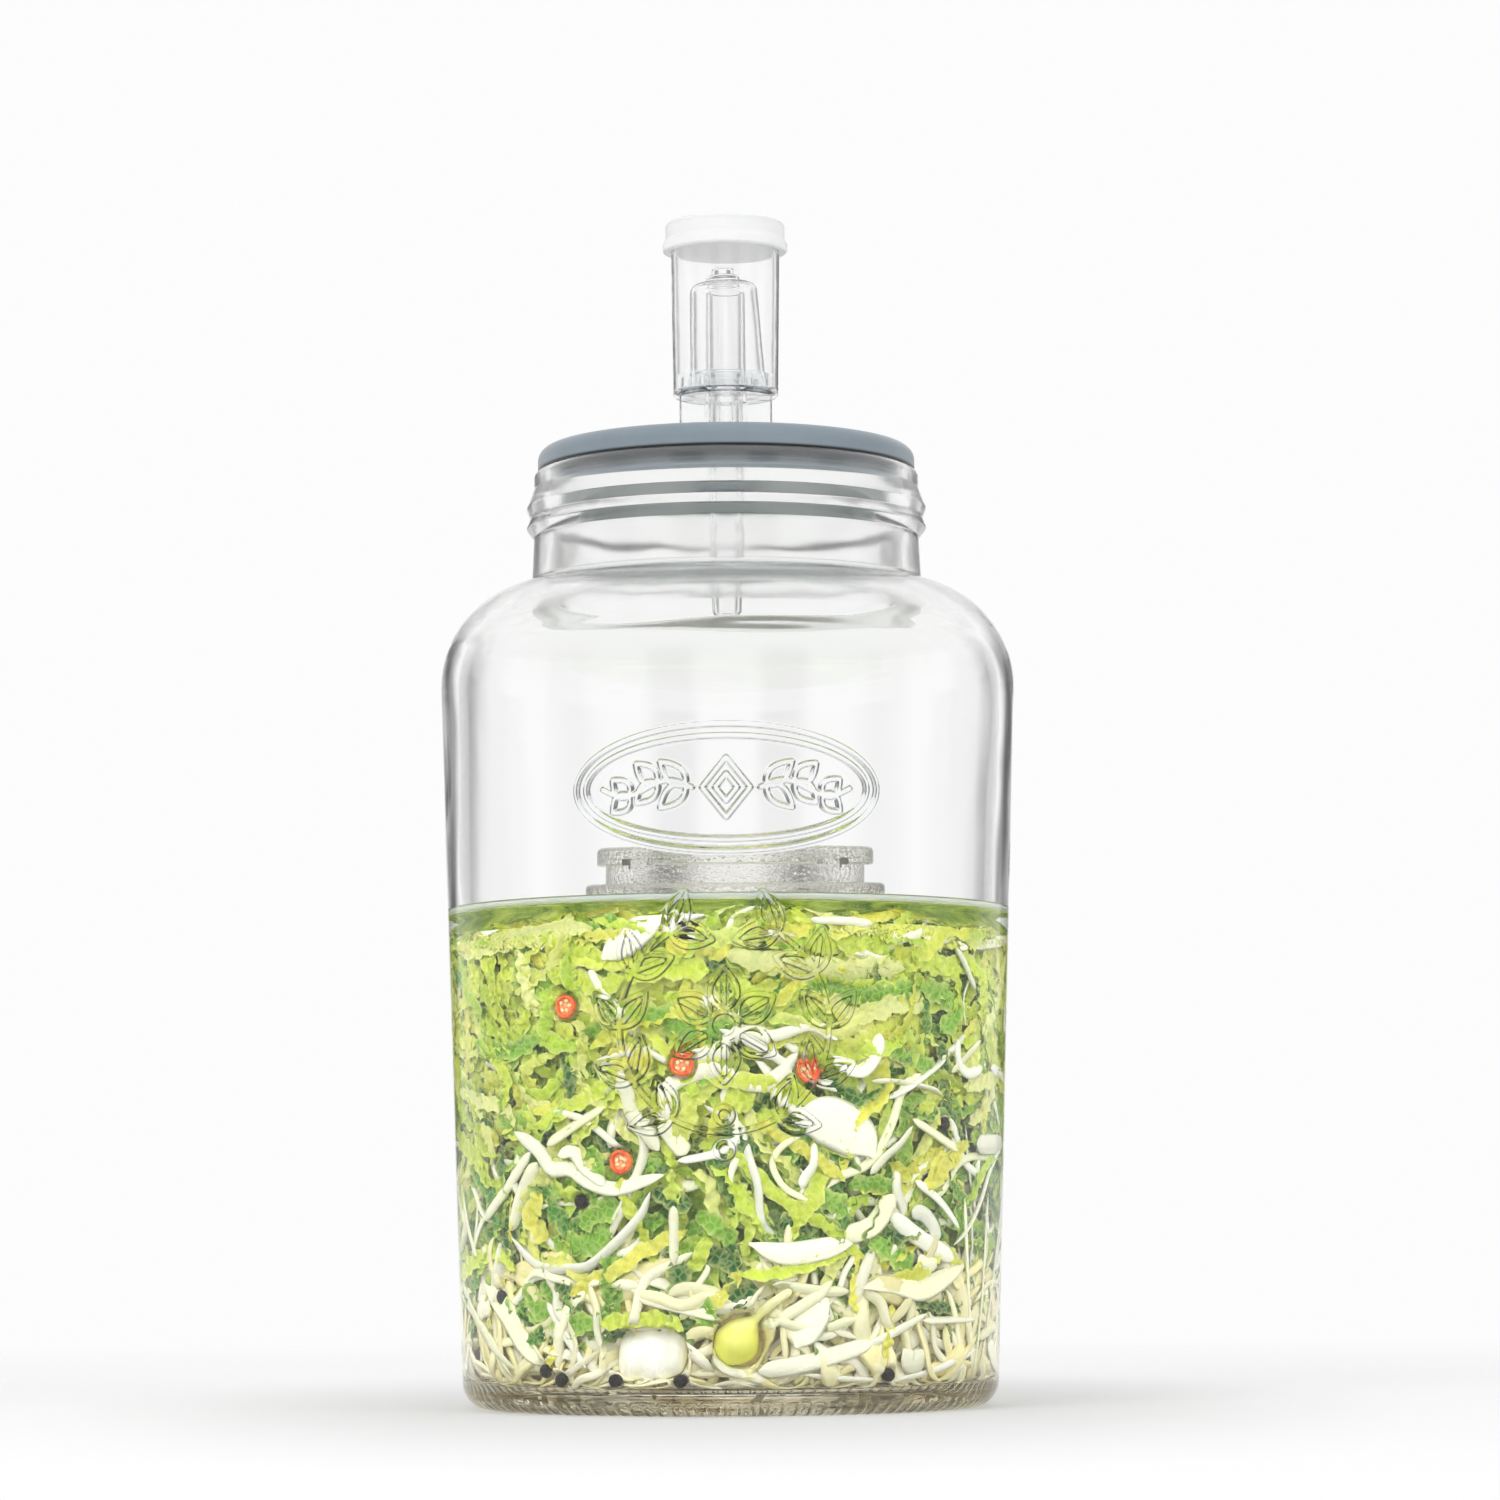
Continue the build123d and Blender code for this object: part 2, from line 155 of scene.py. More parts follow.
def mesh_object(name, points, faces, materials, tints=None, face_slots=None):
    """Mesh from an array of points in mm and a list of arrays of faces, one array per corner count."""
    mesh = bpy.data.meshes.new(name)
    points = np.asarray(points, dtype=float) * MM
    corners = np.concatenate([part.ravel() for part in faces])
    counts = np.concatenate([np.full(len(part), part.shape[1]) for part in faces])
    starts = np.concatenate([[0], np.cumsum(counts)[:-1]])
    mesh.vertices.add(len(points))
    mesh.vertices.foreach_set("co", points.ravel())
    mesh.loops.add(len(corners))
    mesh.loops.foreach_set("vertex_index", corners.astype(np.int32))
    mesh.polygons.add(len(counts))
    mesh.polygons.foreach_set("loop_start", starts.astype(np.int32))
    mesh.polygons.foreach_set("use_smooth", np.ones(len(counts), dtype=bool))
    if face_slots is not None:
        mesh.polygons.foreach_set("material_index", np.asarray(face_slots, dtype=np.int32))
    if tints is not None:
        layer = mesh.color_attributes.new("tint", "FLOAT_COLOR", "POINT")
        colours = np.ones((len(points), 4))
        colours[:, :3] = tints
        layer.data.foreach_set("color", colours.ravel())
    mesh.update(calc_edges=True)
    mesh.validate()
    for material in materials:
        mesh.materials.append(material)
    return new_object(name, mesh)


def between(value, start, end):
    """Share of the way from start to end, held within 0 and 1."""
    return np.clip((value - start) / (end - start), 0, 1)


def eased(share):
    return share * share * (3 - 2 * share)


def rounded(outline, step=6.0):
    """Points along corners of (radius, height, rounding), with an arc at each rounded corner."""
    points = []
    for i, (radius, height, rounding) in enumerate(outline):
        corner = np.array([radius, height])
        if rounding == 0 or i in (0, len(outline) - 1):
            points.append(corner)
            continue
        back = np.array(outline[i - 1][:2]) - corner
        ahead = np.array(outline[i + 1][:2]) - corner
        back, ahead = back / np.linalg.norm(back), ahead / np.linalg.norm(ahead)
        turn = pi - np.arccos(np.clip(back @ ahead, -1, 1))
        reach = rounding * np.tan(turn / 2)
        middle = back + ahead
        centre = corner + middle / np.linalg.norm(middle) * rounding / np.cos(turn / 2)
        start, end = corner + back * reach, corner + ahead * reach
        first = np.arctan2(*(start - centre)[::-1])
        sweep = (np.arctan2(*(end - centre)[::-1]) - first + pi) % (2 * pi) - pi
        count = max(2, ceil(abs(degrees(sweep)) / step))
        for angle in first + np.linspace(0, 1, count + 1) * sweep:
            points.append(centre + rounding * np.array([np.cos(angle), np.sin(angle)]))
    return np.array(points)


def subdivided(points, spacing):
    """Line with points added, so that no two are further apart than spacing(middle) allows."""
    out = [points[0]]
    for start, end in zip(points[:-1], points[1:]):
        count = max(1, ceil(np.linalg.norm(end - start) / spacing((start + end) / 2)))
        for share in np.arange(1, count + 1) / count:
            out.append(start + (end - start) * share)
    return np.array(out)


def lengths_along(line):
    """Length of a flat line up to each of its points."""
    return np.concatenate([[0], np.cumsum(np.linalg.norm(np.diff(line, axis=0), axis=1))])


def evened(line, count):
    """Points at even distances along a flat line."""
    length = lengths_along(line)
    even = np.linspace(0, length[-1], count)
    return np.stack([np.interp(even, length, line[:, 0]), np.interp(even, length, line[:, 1])], 1)


def even_angles(count):
    return np.arange(count) * 2 * pi / count


def around(radius, angle, height):
    """Points in space from radius, angle in radians and height."""
    return np.stack([radius * np.sin(angle), -radius * np.cos(angle), height + 0 * angle], axis=-1)


def grid_faces(rows, columns, wrap):
    """Four-cornered faces over a grid of points, closed round its columns if it wraps."""
    row = np.arange(rows - 1)[:, None] * columns
    column = np.arange(columns if wrap else columns - 1)[None, :]
    after = (column + 1) % columns
    faces = [row + column, row + after, row + columns + after, row + columns + column]
    return np.stack(faces, axis=-1).reshape(-1, 4)


def joined(parts):
    """Points and faces of one mesh from parts of (points, faces)."""
    points = [part[0].reshape(-1, 3) for part in parts]
    starts = np.cumsum([0] + [len(some) for some in points])
    return np.concatenate(points), np.concatenate([part[1] + start for part, start in zip(parts, starts)])


def turned(name, profile, angles, materials, reshape=None, slot_of=None):
    """Surface of revolution. Its first and last points lie on the axis and become the two poles."""
    radius, height = (np.repeat(profile[1:-1, i, None], len(angles), axis=1) for i in (0, 1))
    angle = np.repeat(angles[None, :], len(radius), axis=0)
    tints = slots = None
    if reshape is not None:
        radius, height, *extra = reshape(radius, height, angle)
        if extra:
            tints = np.concatenate([extra[0].reshape(-1, 3), np.ones((2, 3))])
    rows, columns = radius.shape
    points = around(radius, angle, height).reshape(-1, 3)
    poles = np.array([[0, 0, profile[0, 1]], [0, 0, profile[-1, 1]]])
    column = np.arange(columns)
    after = (column + 1) % columns
    top_row = (rows - 1) * columns
    low = np.stack([np.full(columns, len(points)), after, column], axis=-1)
    high = np.stack([np.full(columns, len(points) + 1), top_row + column, top_row + after], axis=-1)
    faces = [grid_faces(rows, columns, True), low, high]
    if slot_of is not None:
        middles = (profile[1:-2] + profile[2:-1]) / 2
        slots = np.repeat([slot_of(*place) for place in (*middles, profile[1], profile[-2])], columns)
    return mesh_object(name, np.concatenate([points, poles]), faces, materials, tints, slots)


# Shader nodes


def add(tree, kind, inputs=None, **settings):
    """New node with its settings and its inputs set, or linked where a socket is given."""
    node = tree.nodes.new("ShaderNode" + kind)
    for key, value in settings.items():
        setattr(node, key, value)
    for key, value in (inputs or {}).items():
        if isinstance(value, bpy.types.NodeSocket):
            tree.links.new(value, node.inputs[key])
        else:
            node.inputs[key].default_value = value
    return node


def maths(tree, operation, *values):
    return add(tree, "Math", dict(enumerate(values)), operation=operation).outputs[0]


def times(tree, one, other):
    return maths(tree, "MULTIPLY", one, other)


def place_on(tree):
    """Place on the object, in metres."""
    return add(tree, "TexCoord").outputs["Object"]


def height_on(tree):
    return add(tree, "SeparateXYZ", {0: place_on(tree)}).outputs["Z"]


def stretched(tree, share):
    """Place on the object with its height scaled, which draws a noise out along or across it."""
    return add(tree, "Mapping", {"Vector": place_on(tree), "Scale": (1, 1, share)}).outputs["Vector"]


def smooth_range(tree, value, low, high, start=0.0, end=1.0):
    """From start where the value is low to end where it is high, with a smooth step between."""
    inputs = {"Value": value, "From Min": low, "From Max": high, "To Min": start, "To Max": end}
    return add(tree, "MapRange", inputs, interpolation_type="SMOOTHSTEP").outputs["Result"]


def noise(tree, scale, detail=2.0, roughness=0.5, distortion=0.0, vector=None):
    inputs = {"Scale": scale, "Detail": detail, "Roughness": roughness, "Distortion": distortion}
    inputs["Vector"] = vector or place_on(tree)
    return add(tree, "TexNoise", inputs).outputs["Fac"]


def cells(tree, scale, feature):
    inputs = {"Scale": scale, "Vector": place_on(tree)}
    return add(tree, "TexVoronoi", inputs, feature=feature).outputs["Distance"]


def ramp(tree, value, *stops):
    """Colour ramp from stops of (place, colour)."""
    node = add(tree, "ValToRGB", {"Fac": value})
    elements = node.color_ramp.elements
    while len(elements) < len(stops):
        elements.new(0.5)
    for element, (place, colour) in zip(elements, stops):
        element.position = place
        element.color = (*colour, 1)
    return node.outputs["Color"]


def bump(tree, height, distance, strength=1.0):
    inputs = {"Height": height, "Distance": distance, "Strength": strength}
    return add(tree, "Bump", inputs).outputs["Normal"]


def blended(tree, share, one, other, way="MIX"):
    return add(tree, "Mix", {0: share, 6: one, 7: other}, data_type="RGBA", blend_type=way).outputs[2]


def multiplied(tree, one, other, share=1.0):
    return blended(tree, share, one, other, "MULTIPLY")


def principled(tree, inputs):
    return add(tree, "BsdfPrincipled", inputs).outputs[0]


def see_through(tree, share=1.0):
    return add(tree, "BsdfTransparent", {"Color": (share, share, share, 1)}).outputs[0]


def mixed(tree, share, first, second):
    return add(tree, "MixShader", {0: share, 1: first, 2: second}).outputs[0]


def letting_light_through(tree, shader, share):
    """Shader that lamps shine through, so that what stands behind the glass is lit."""
    return mixed(tree, add(tree, "LightPath").outputs["Is Shadow Ray"], shader, see_through(tree, share))


def patterned(tree, pattern, stops, roughness, depth, strength):
    """Surface whose pattern gives both its colours and its relief."""
    inputs = {"Base Color": ramp(tree, pattern, *stops), "Roughness": roughness}
    inputs["Normal"] = bump(tree, pattern, depth, strength)
    return principled(tree, inputs)


# Materials. Each function under make_material and glass gives the shader of a material's surface.


def make_material(name, shader_of, *looks):
    material = bpy.data.materials.new(name)
    material.use_nodes = True
    tree = material.node_tree
    tree.nodes.clear()
    add(tree, "OutputMaterial", {"Surface": shader_of(tree, *looks)})
    return material


def glass(name, colour, ior, roughness=0.0, wave=0.0, wave_scale=40.0, relief=None, stain_and_painted_shade=None, milk=0.0):
    """Clear glass, plastic or liquid. The wave is a shallow unevenness of its surface, and milk clouds it.
    The stain darkens its colour: on the jar, with painted shade along the ornament's strokes.
    """

    def shader(tree):
        inputs = {
            "Base Color": (*colour, 1) if stain_and_painted_shade is None else multiplied(tree, (*colour, 1), stain_and_painted_shade(tree)),
            "Roughness": roughness,
            "IOR": ior,
            "Transmission Weight": 1.0 - milk,
        }
        if wave:
            height = noise(tree, wave_scale, 1.0)
            if relief is not None:
                height = maths(tree, "ADD", height, relief(tree))
            inputs["Normal"] = bump(tree, height, wave)
        return letting_light_through(tree, principled(tree, inputs), 0.985)

    return make_material(name, shader)


def silicone(tree):
    """Blue-grey rubber with painted shade: darker up the plug inside the neck, and a nearly black painted
    shadow in the narrow gap where the lid meets the rim.
    """
    mottle = noise(tree, 60.0, 4.0, 0.6)
    colour = ramp(tree, mottle, (0.3, (0.205, 0.252, 0.288)), (0.7, (0.235, 0.284, 0.322)))
    # Nearly black painted shadow for the gap under the lid's edge
    gap = (0.01, 0.01, 0.012)
    # Painted shade up the plug to the lid's underside, then the lid's own colour above
    seat = ramp(
        tree,
        smooth_range(tree, height_on(tree), PLUG_HEIGHT, LID_HEIGHT),
        (0.0, (0.75, 0.78, 0.80)),
        (0.45, (0.5, 0.5, 0.5)),
        (0.8, (0.12, 0.12, 0.13)),
        (0.84, gap),
        (0.95, gap),
        (0.985, (1, 1, 1)),
    )
    inputs = {
        "Base Color": multiplied(tree, colour, seat),
        "Roughness": 0.42,
        "Specular IOR Level": 0.45,
        "Sheen Weight": 0.5,
        "Sheen Roughness": 0.35,
        "Normal": bump(tree, noise(tree, 1800.0, 3.0, 0.6), 0.00012, 0.5),
    }
    return principled(tree, inputs)


def milky_plastic(tree):
    cloud = noise(tree, 140.0, 3.0)
    inputs = {
        "Base Color": ramp(tree, cloud, (0.3, (0.97, 0.975, 0.975)), (0.7, (0.99, 0.99, 0.985))),
        "Roughness": 0.4,
        "IOR": 1.3,
        "Transmission Weight": 0.45,
        "Normal": bump(tree, noise(tree, 900.0), 0.00005, 0.4),
    }
    return letting_light_through(tree, principled(tree, inputs), 0.55)


def leaf(tree, through, roughness, mottle_scale, vein):
    """Plant tissue coloured by each shred's tint, mottled, and lit through from behind."""
    tint = add(tree, "Attribute", attribute_name="tint").outputs["Color"]
    patches = noise(tree, mottle_scale, 3.0, 0.6)
    shade = ramp(tree, patches, (0.32, (0.66, 0.74, 0.55)), (0.6, (1, 1, 1)))
    blisters = cells(tree, 430.0, "DISTANCE_TO_EDGE")
    veins = smooth_range(tree, blisters, 0.0, 0.2, 0.4 * vein, 0.0)
    colour = blended(tree, veins, multiplied(tree, tint, shade, vein), (0.95, 0.96, 0.45, 1))
    ripple = maths(tree, "ADD", blisters, noise(tree, mottle_scale * 2.2, 3.0, 0.6))
    normal = bump(tree, ripple, 0.0005, 0.3 + 0.4 * vein)
    inputs = {"Base Color": colour, "Roughness": roughness, "Specular IOR Level": 0.3, "Normal": normal}
    back = add(tree, "BsdfTranslucent", {"Color": colour, "Normal": normal}).outputs[0]
    return mixed(tree, through, principled(tree, inputs), back)


def packed_inside(tree):
    """Packed shreds deep behind the glass: dark green above, darkened as painted shade of the gaps between
    the shreds in front, and brownish cream at the bottom.
    """
    blotches = noise(tree, 90.0, 4.0, 0.65)
    # The greens are the shreds' own colour, darkened as painted shade so the gaps between the front shreds
    # look deep
    greens_with_gap_shade = (0.35, (0.08, 0.18, 0.01)), (0.5, (0.30, 0.44, 0.03)), (0.66, (0.62, 0.72, 0.12))
    creams = (0.32, (0.42, 0.30, 0.12)), (0.5, (0.74, 0.60, 0.30)), (0.66, (0.92, 0.82, 0.52))
    uneven = maths(tree, "ADD", height_on(tree), times(tree, noise(tree, 35.0), 0.03))
    above = smooth_range(tree, uneven, 0.045, 0.070)
    colour = blended(tree, above, ramp(tree, blotches, *creams), ramp(tree, blotches, *greens_with_gap_shade))
    inputs = {"Base Color": colour, "Roughness": 0.7, "Normal": bump(tree, blotches, 0.003, 0.8)}
    return principled(tree, inputs)


def pepper(tree):
    stops = (0.0, (0.012, 0.010, 0.010)), (0.4, (0.045, 0.036, 0.030))
    return patterned(tree, cells(tree, 900.0, "DISTANCE_TO_EDGE"), stops, 0.5, 0.0006, 0.9)


def chilli(tree, dark, light, scale, roughness, depth):
    cloud = noise(tree, scale, 3.0, 0.6)
    return patterned(tree, cloud, [(0.35, dark), (0.65, light)], roughness, depth, 0.6)


def onion(tree):
    """Pale yellow-green skin with fine lines along it, whiter up the stalk."""
    lines = noise(tree, 420.0, 3.0, 0.6, vector=stretched(tree, 0.2))
    up = smooth_range(tree, height_on(tree), 0.016, 0.036, 0.0, 0.6)
    tone = maths(tree, "ADD", up, times(tree, lines, 0.4))
    inputs = {
        "Base Color": ramp(
            tree, tone, (0.1, (0.70, 0.74, 0.06)), (0.45, (0.84, 0.84, 0.20)), (0.9, (0.94, 0.93, 0.62))
        ),
        "Roughness": 0.25,
        "Coat Weight": 0.3,
        "Normal": bump(tree, lines, 0.0003, 0.5),
    }
    return principled(tree, inputs)


def core(tree):
    """Cream-white cabbage core with fine ribs."""
    lines = noise(tree, 260.0, 4.0, 0.6, 0.6, vector=stretched(tree, 0.35))
    stops = (0.3, (0.88, 0.86, 0.62)), (0.5, (0.97, 0.96, 0.86)), (0.7, (0.99, 0.98, 0.93))
    return patterned(tree, lines, stops, 0.35, 0.0012, 0.7)


# Stains tint a glass, and on the jar a painted shade darkens its ornament's strokes; reliefs give it fine
# moulded marks


def jar_painted_stroke_shade(tree):
    """Painted shade along the ornament's strokes, for the dark edges their relief refracts."""
    lines = add(tree, "Attribute", attribute_name="tint").outputs["Fac"]
    return ramp(tree, lines, (0.0, (0.01, 0.01, 0.05)), (0.35, (0.05, 0.05, 0.12)), (0.85, (1, 1, 1)))


def foot_streaks(tree):
    """Brownish tone with darker horizontal streaks across the thick foot."""
    streaks = noise(tree, 35.0, 3.0, vector=stretched(tree, 14))
    tones = (0.38, (0.38, 0.30, 0.17)), (0.5, (0.97, 0.90, 0.68)), (0.60, (1.0, 0.99, 0.90))
    return ramp(tree, streaks, *tones)


def fin_stain(tree):
    """A touch greyer where the airlock's fins are moulded thick."""
    height = height_on(tree)
    fins = smooth_range(tree, height, 0.2935, 0.2950)
    above = smooth_range(tree, height, 0.3095, 0.3110, 1.0, 0.0)
    return ramp(tree, times(tree, fins, above), (0.0, (1, 1, 1)), (1.0, (0.985, 0.988, 0.99)))


def weight_stain(tree):
    """Cloudy grey-beige tone of the pressed weight."""
    cloud = noise(tree, 50.0, 3.0, 0.6)
    return ramp(tree, cloud, (0.3, (0.90, 0.885, 0.86)), (0.7, (0.97, 0.96, 0.94)))


def foot_relief(tree):
    """Short radial bars moulded round the jar's foot."""
    split = add(tree, "SeparateXYZ", {0: place_on(tree)}).outputs
    angle = maths(tree, "ARCTAN2", split["X"], split["Y"])
    bars = maths(tree, "SINE", times(tree, angle, FOOT_BARS))
    low = smooth_range(tree, split["Z"], 0.0005, 0.0045, 1.0, 0.0)
    return times(tree, maths(tree, "MAXIMUM", bars, 0.0), times(tree, low, 2.5))


def weight_relief(tree):
    """Fine dots moulded into the weight."""
    return cells(tree, 620.0, "F1")


# Raised ornament, drawn flat in mm


def leaf_outline(x, y, heading, length, width):
    """Edge and vein of a pointed leaf that starts at a place and points along a heading in degrees."""
    share = np.linspace(0, 1, 28)
    side = width / 2 * np.sin(pi * share**0.8) ** 0.9
    along = length * share
    outline = np.concatenate([np.stack([along, side], 1), np.stack([along[::-1], -side[::-1]], 1)])
    turn = radians(heading)
    spin = np.array([[cos(turn), sin(turn)], [-sin(turn), cos(turn)]])
    vein = np.stack([along[4:-6], 0 * along[4:-6]], 1)
    return [outline @ spin + (x, y), vein @ spin + (x, y)]


def arc(x, y, wide, high, start=0, end=360):
    """Arc of an oval, from start to end in degrees."""
    turn = np.radians(np.linspace(start, end, max(8, int(abs(end - start) / 4))))
    return np.stack([x + wide * np.cos(turn), y + high * np.sin(turn)], 1)


def upper_ornament():
    """Oval double frame round a small diamond, with a leafy branch to each side."""
    x, y = OVAL_MIDDLE
    strokes = [arc(x, y, 46, 18.5), arc(x, y, 42.6, 15.1)]
    for half in (7.0, 3.2):
        corners = [(half, 0), (0, half * 1.25), (-half, 0), (0, -half * 1.25), (half, 0)]
        strokes.append(np.array(corners) + (x, y))
    share = np.linspace(0, 1, 30)
    stem_y = y + 2.2 * np.sin(2 * pi * share)
    for side in (-1, 1):
        stem_x = x + side * (10 + 27 * share)
        strokes.append(np.stack([stem_x, stem_y], 1))
        for i, at in enumerate((2, 11, 20)):
            for up in (-42, 42):
                heading = up if side > 0 else 180 - up
                strokes += leaf_outline(stem_x[at], stem_y[at], heading, 10.0 - 1.5 * i, 5.0)[:1]
    return strokes


def lower_ornament():
    """Wreath of paired leaves, open at its top, with two berries below and a petalled rosette inside."""
    x, y = WREATH_MIDDLE
    strokes = [arc(x, y, WREATH_RADIUS, WREATH_RADIUS, 108, 432)]
    lowest = WREATH_PLACES // 2
    for i, turn in enumerate(np.linspace(120, 420, WREATH_PLACES)):
        at_x, at_y = x + WREATH_RADIUS * cos(radians(turn)), y + WREATH_RADIUS * sin(radians(turn))
        if i == lowest:
            strokes += [arc(at_x, at_y + up, 2.4, 2.4) for up in (-5, 5)]
            continue
        back = turn + (270 if i < lowest else 90)
        for side in (-40, 40):
            strokes += leaf_outline(at_x, at_y, back + side, 12.5, 6.4)
    for turn in range(30, 390, 60):
        strokes += leaf_outline(x + 4.6 * cos(radians(turn)), y + 4.6 * sin(radians(turn)), turn, 12.0, 8.0)
    strokes.append(arc(x, y, 4.0, 4.0))
    return strokes


def stroke_tree():
    """Search tree over points along every stroke of the ornament."""
    points = []
    for stroke in upper_ornament() + lower_ornament():
        points.append(evened(stroke, max(2, int(lengths_along(stroke)[-1] / STROKE_STEP))))
    points = np.concatenate(points)
    tree = kdtree.KDTree(len(points))
    for i, (x, y) in enumerate(points):
        tree.insert((x, y, 0), i)
    tree.balance()
    return tree


# Jar


def body_radius(height):
    return BODY_BASE_RADIUS + (BODY_TOP_RADIUS - BODY_BASE_RADIUS) * height / SHOULDER_HEIGHT


def bore_radius(height):
    return body_radius(height) - WALL


def is_outer(radius, height):
    return radius > bore_radius(height) + WALL / 2


def shoulder_line(radius):
    slope = (NECK_BASE_HEIGHT - SHOULDER_HEIGHT) / (BODY_TOP_RADIUS - NECK_BASE_RADIUS)
    return SHOULDER_HEIGHT + slope * (BODY_TOP_RADIUS - radius)


def jar_outline():
    """Corners of (radius, height, rounding), up the outside and down the inside."""
    lower, upper = (JAR_HEIGHT - drop for drop in BEAD_DROPS)
    inner_top = bore_radius(SHOULDER_HEIGHT)
    wet_top = BRINE_LEVEL + MENISCUS
    outside = [
        (0, PUSH_UP, 0),
        (PUSH_UP_RADIUS, PUSH_UP, 3),
        (RING_INNER_RADIUS, 0, 3),
        (BODY_BASE_RADIUS, 0, HEEL_RADIUS),
        (BODY_TOP_RADIUS, SHOULDER_HEIGHT, SHOULDER_RADIUS),
        (NECK_BASE_RADIUS, NECK_BASE_HEIGHT, 2),
        (NECK_RADIUS, lower - BEAD_FLANKS[0], 0.6),
        (BEAD_RADIUS, lower, 0.8),
        (BEAD_VALLEY_RADIUS, (lower + upper) / 2, 0.6),
        (BEAD_RADIUS, upper, 0.8),
        (NECK_RADIUS, upper + BEAD_FLANKS[1], 0.6),
        (NECK_RADIUS, JAR_HEIGHT, 2),
    ]
    inside = [
        (NECK_BORE, JAR_HEIGHT, 1.5),
        (NECK_BORE, shoulder_line(NECK_BORE) - WALL, 4),
        (inner_top, shoulder_line(inner_top) - WALL, SHOULDER_RADIUS - WALL),
        (bore_radius(wet_top), wet_top, 0),
        (bore_radius(0), BASE_THICKNESS, 6),
        (PUSH_UP_RADIUS, BASE_THICKNESS + PUSH_UP, 30),
        (0, BASE_THICKNESS + PUSH_UP, 0),
    ]
    return outside + inside


def row_spacing(middle):
    """Rows lie close under the ornament, and a few mm apart elsewhere."""
    return 0.35 if is_outer(*middle) and ORNAMENT_FLOOR < middle[1] < ORNAMENT_TOP else 3.0


def jar_angles():
    """Columns lie close under the ornament, and two degrees apart elsewhere."""
    fine = np.radians(np.arange(-ORNAMENT_HALF_ANGLE, ORNAMENT_HALF_ANGLE + 0.01, 0.24))
    coarse = np.radians(np.arange(ORNAMENT_HALF_ANGLE + 2, 360 - ORNAMENT_HALF_ANGLE - 1, 2.0))
    return np.concatenate([fine, coarse])


def glass_shape(radius, height, angle):
    """Raises the ornament on the outside and gives the inside the slight waves of moulded glass. Also gives a
    painted shade along each stroke's flank, weaker on the lit side and above the brine, as the jar's tint.
    """
    flat = (angle + pi) % (2 * pi) - pi
    outer = is_outer(radius, height)
    raised = outer & (height > ORNAMENT_FLOOR) & (height < ORNAMENT_TOP)
    raised &= np.abs(flat) < radians(ORNAMENT_HALF_ANGLE)
    tree = stroke_tree()
    out, lines = radius.copy(), np.zeros_like(radius)
    for cell in zip(*np.nonzero(raised)):
        across, up = flat[cell] * radius[cell], height[cell]
        nearest, _, gap = tree.find((across, up, 0))
        if gap < STROKE_FOOT:
            lifted = out[cell] + STROKE_HEIGHT * eased(between(gap, STROKE_FOOT, STROKE_FLAT))
            out[cell] = max(out[cell], min(lifted, WIDEST_RADIUS))
            # Painted shade: a dark line along each stroke's flank, for the dark edges its relief refracts
            line = max(0.0, 1 - abs(gap - PAINTED_EDGE_LINE) / PAINTED_LINE_HALF_WIDTH)
            line *= 1 if across - nearest.x > up - nearest.y else LIT_SIDE_SHADE_SHARE
            lines[cell] = line * (DRY_SHADE_SHARE if up > BRINE_LEVEL else 1)
    inner = ~outer & (height > 20) & (radius > NECK_BORE - 1)
    wave = np.sin(3 * flat + height / 23) + np.sin(5 * flat - height / 14 + 1.7)
    wave = wave + np.sin(2 * flat + height / 9)
    neck = between(height, 200, 230) * between(height, 245, 233)
    throat = between(height, JAR_HEIGHT - 4, JAR_HEIGHT - 14) * (1 - 0.6 * between(height, 236, 244))
    out[inner] += (wave * (0.05 + 0.07 * neck) * throat)[inner]
    return out, height, 1 - lines[..., None] * (1, 1, 1)


def glass_part(radius, height):
    """Slot of the glass's look at a place on the jar."""
    inside = not is_outer(radius, height) and height > PUSH_UP + 1.5
    if not inside:
        return FOOT if height < FOOT_HEIGHT else DRY
    if height > THROAT_HEIGHT:
        return HAZE if radius < NECK_BORE + HAZE_WIDTH and height < HAZE_TOP else THROAT
    return WET if height < BRINE_LEVEL + MENISCUS else DRY


def make_jar():
    looks = [
        # The outer glass is darkened by painted shade along the ornament's strokes
        glass("jar_glass", CLEAR_GLASS, GLASS_IOR, wave=0.0002, wave_scale=30.0, stain_and_painted_shade=jar_painted_stroke_shade),
        glass("jar_glass_wet", CLEAR_GLASS, GLASS_IN_WATER_IOR),
        glass("jar_glass_foot", (1.0, 0.96, 0.80), GLASS_IOR, 0, 0.0002, 30.0, foot_relief, foot_streaks, 0.1),
        glass("jar_glass_throat", CLEAR_GLASS, GLASS_IOR, 0.1, 0.0003, 60.0, milk=0.03),
        glass("jar_glass_haze", (0.99, 0.99, 0.985), GLASS_IOR, 0.3, 0.0004, 60.0, milk=0.22),
    ]
    profile = subdivided(rounded(jar_outline()), row_spacing)
    profile[0, 0] = profile[-1, 0] = 0
    obj = turned("jar_dressed", profile, jar_angles(), looks, glass_shape, glass_part)
    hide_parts("jar")
    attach(obj, "jar")


# Brine


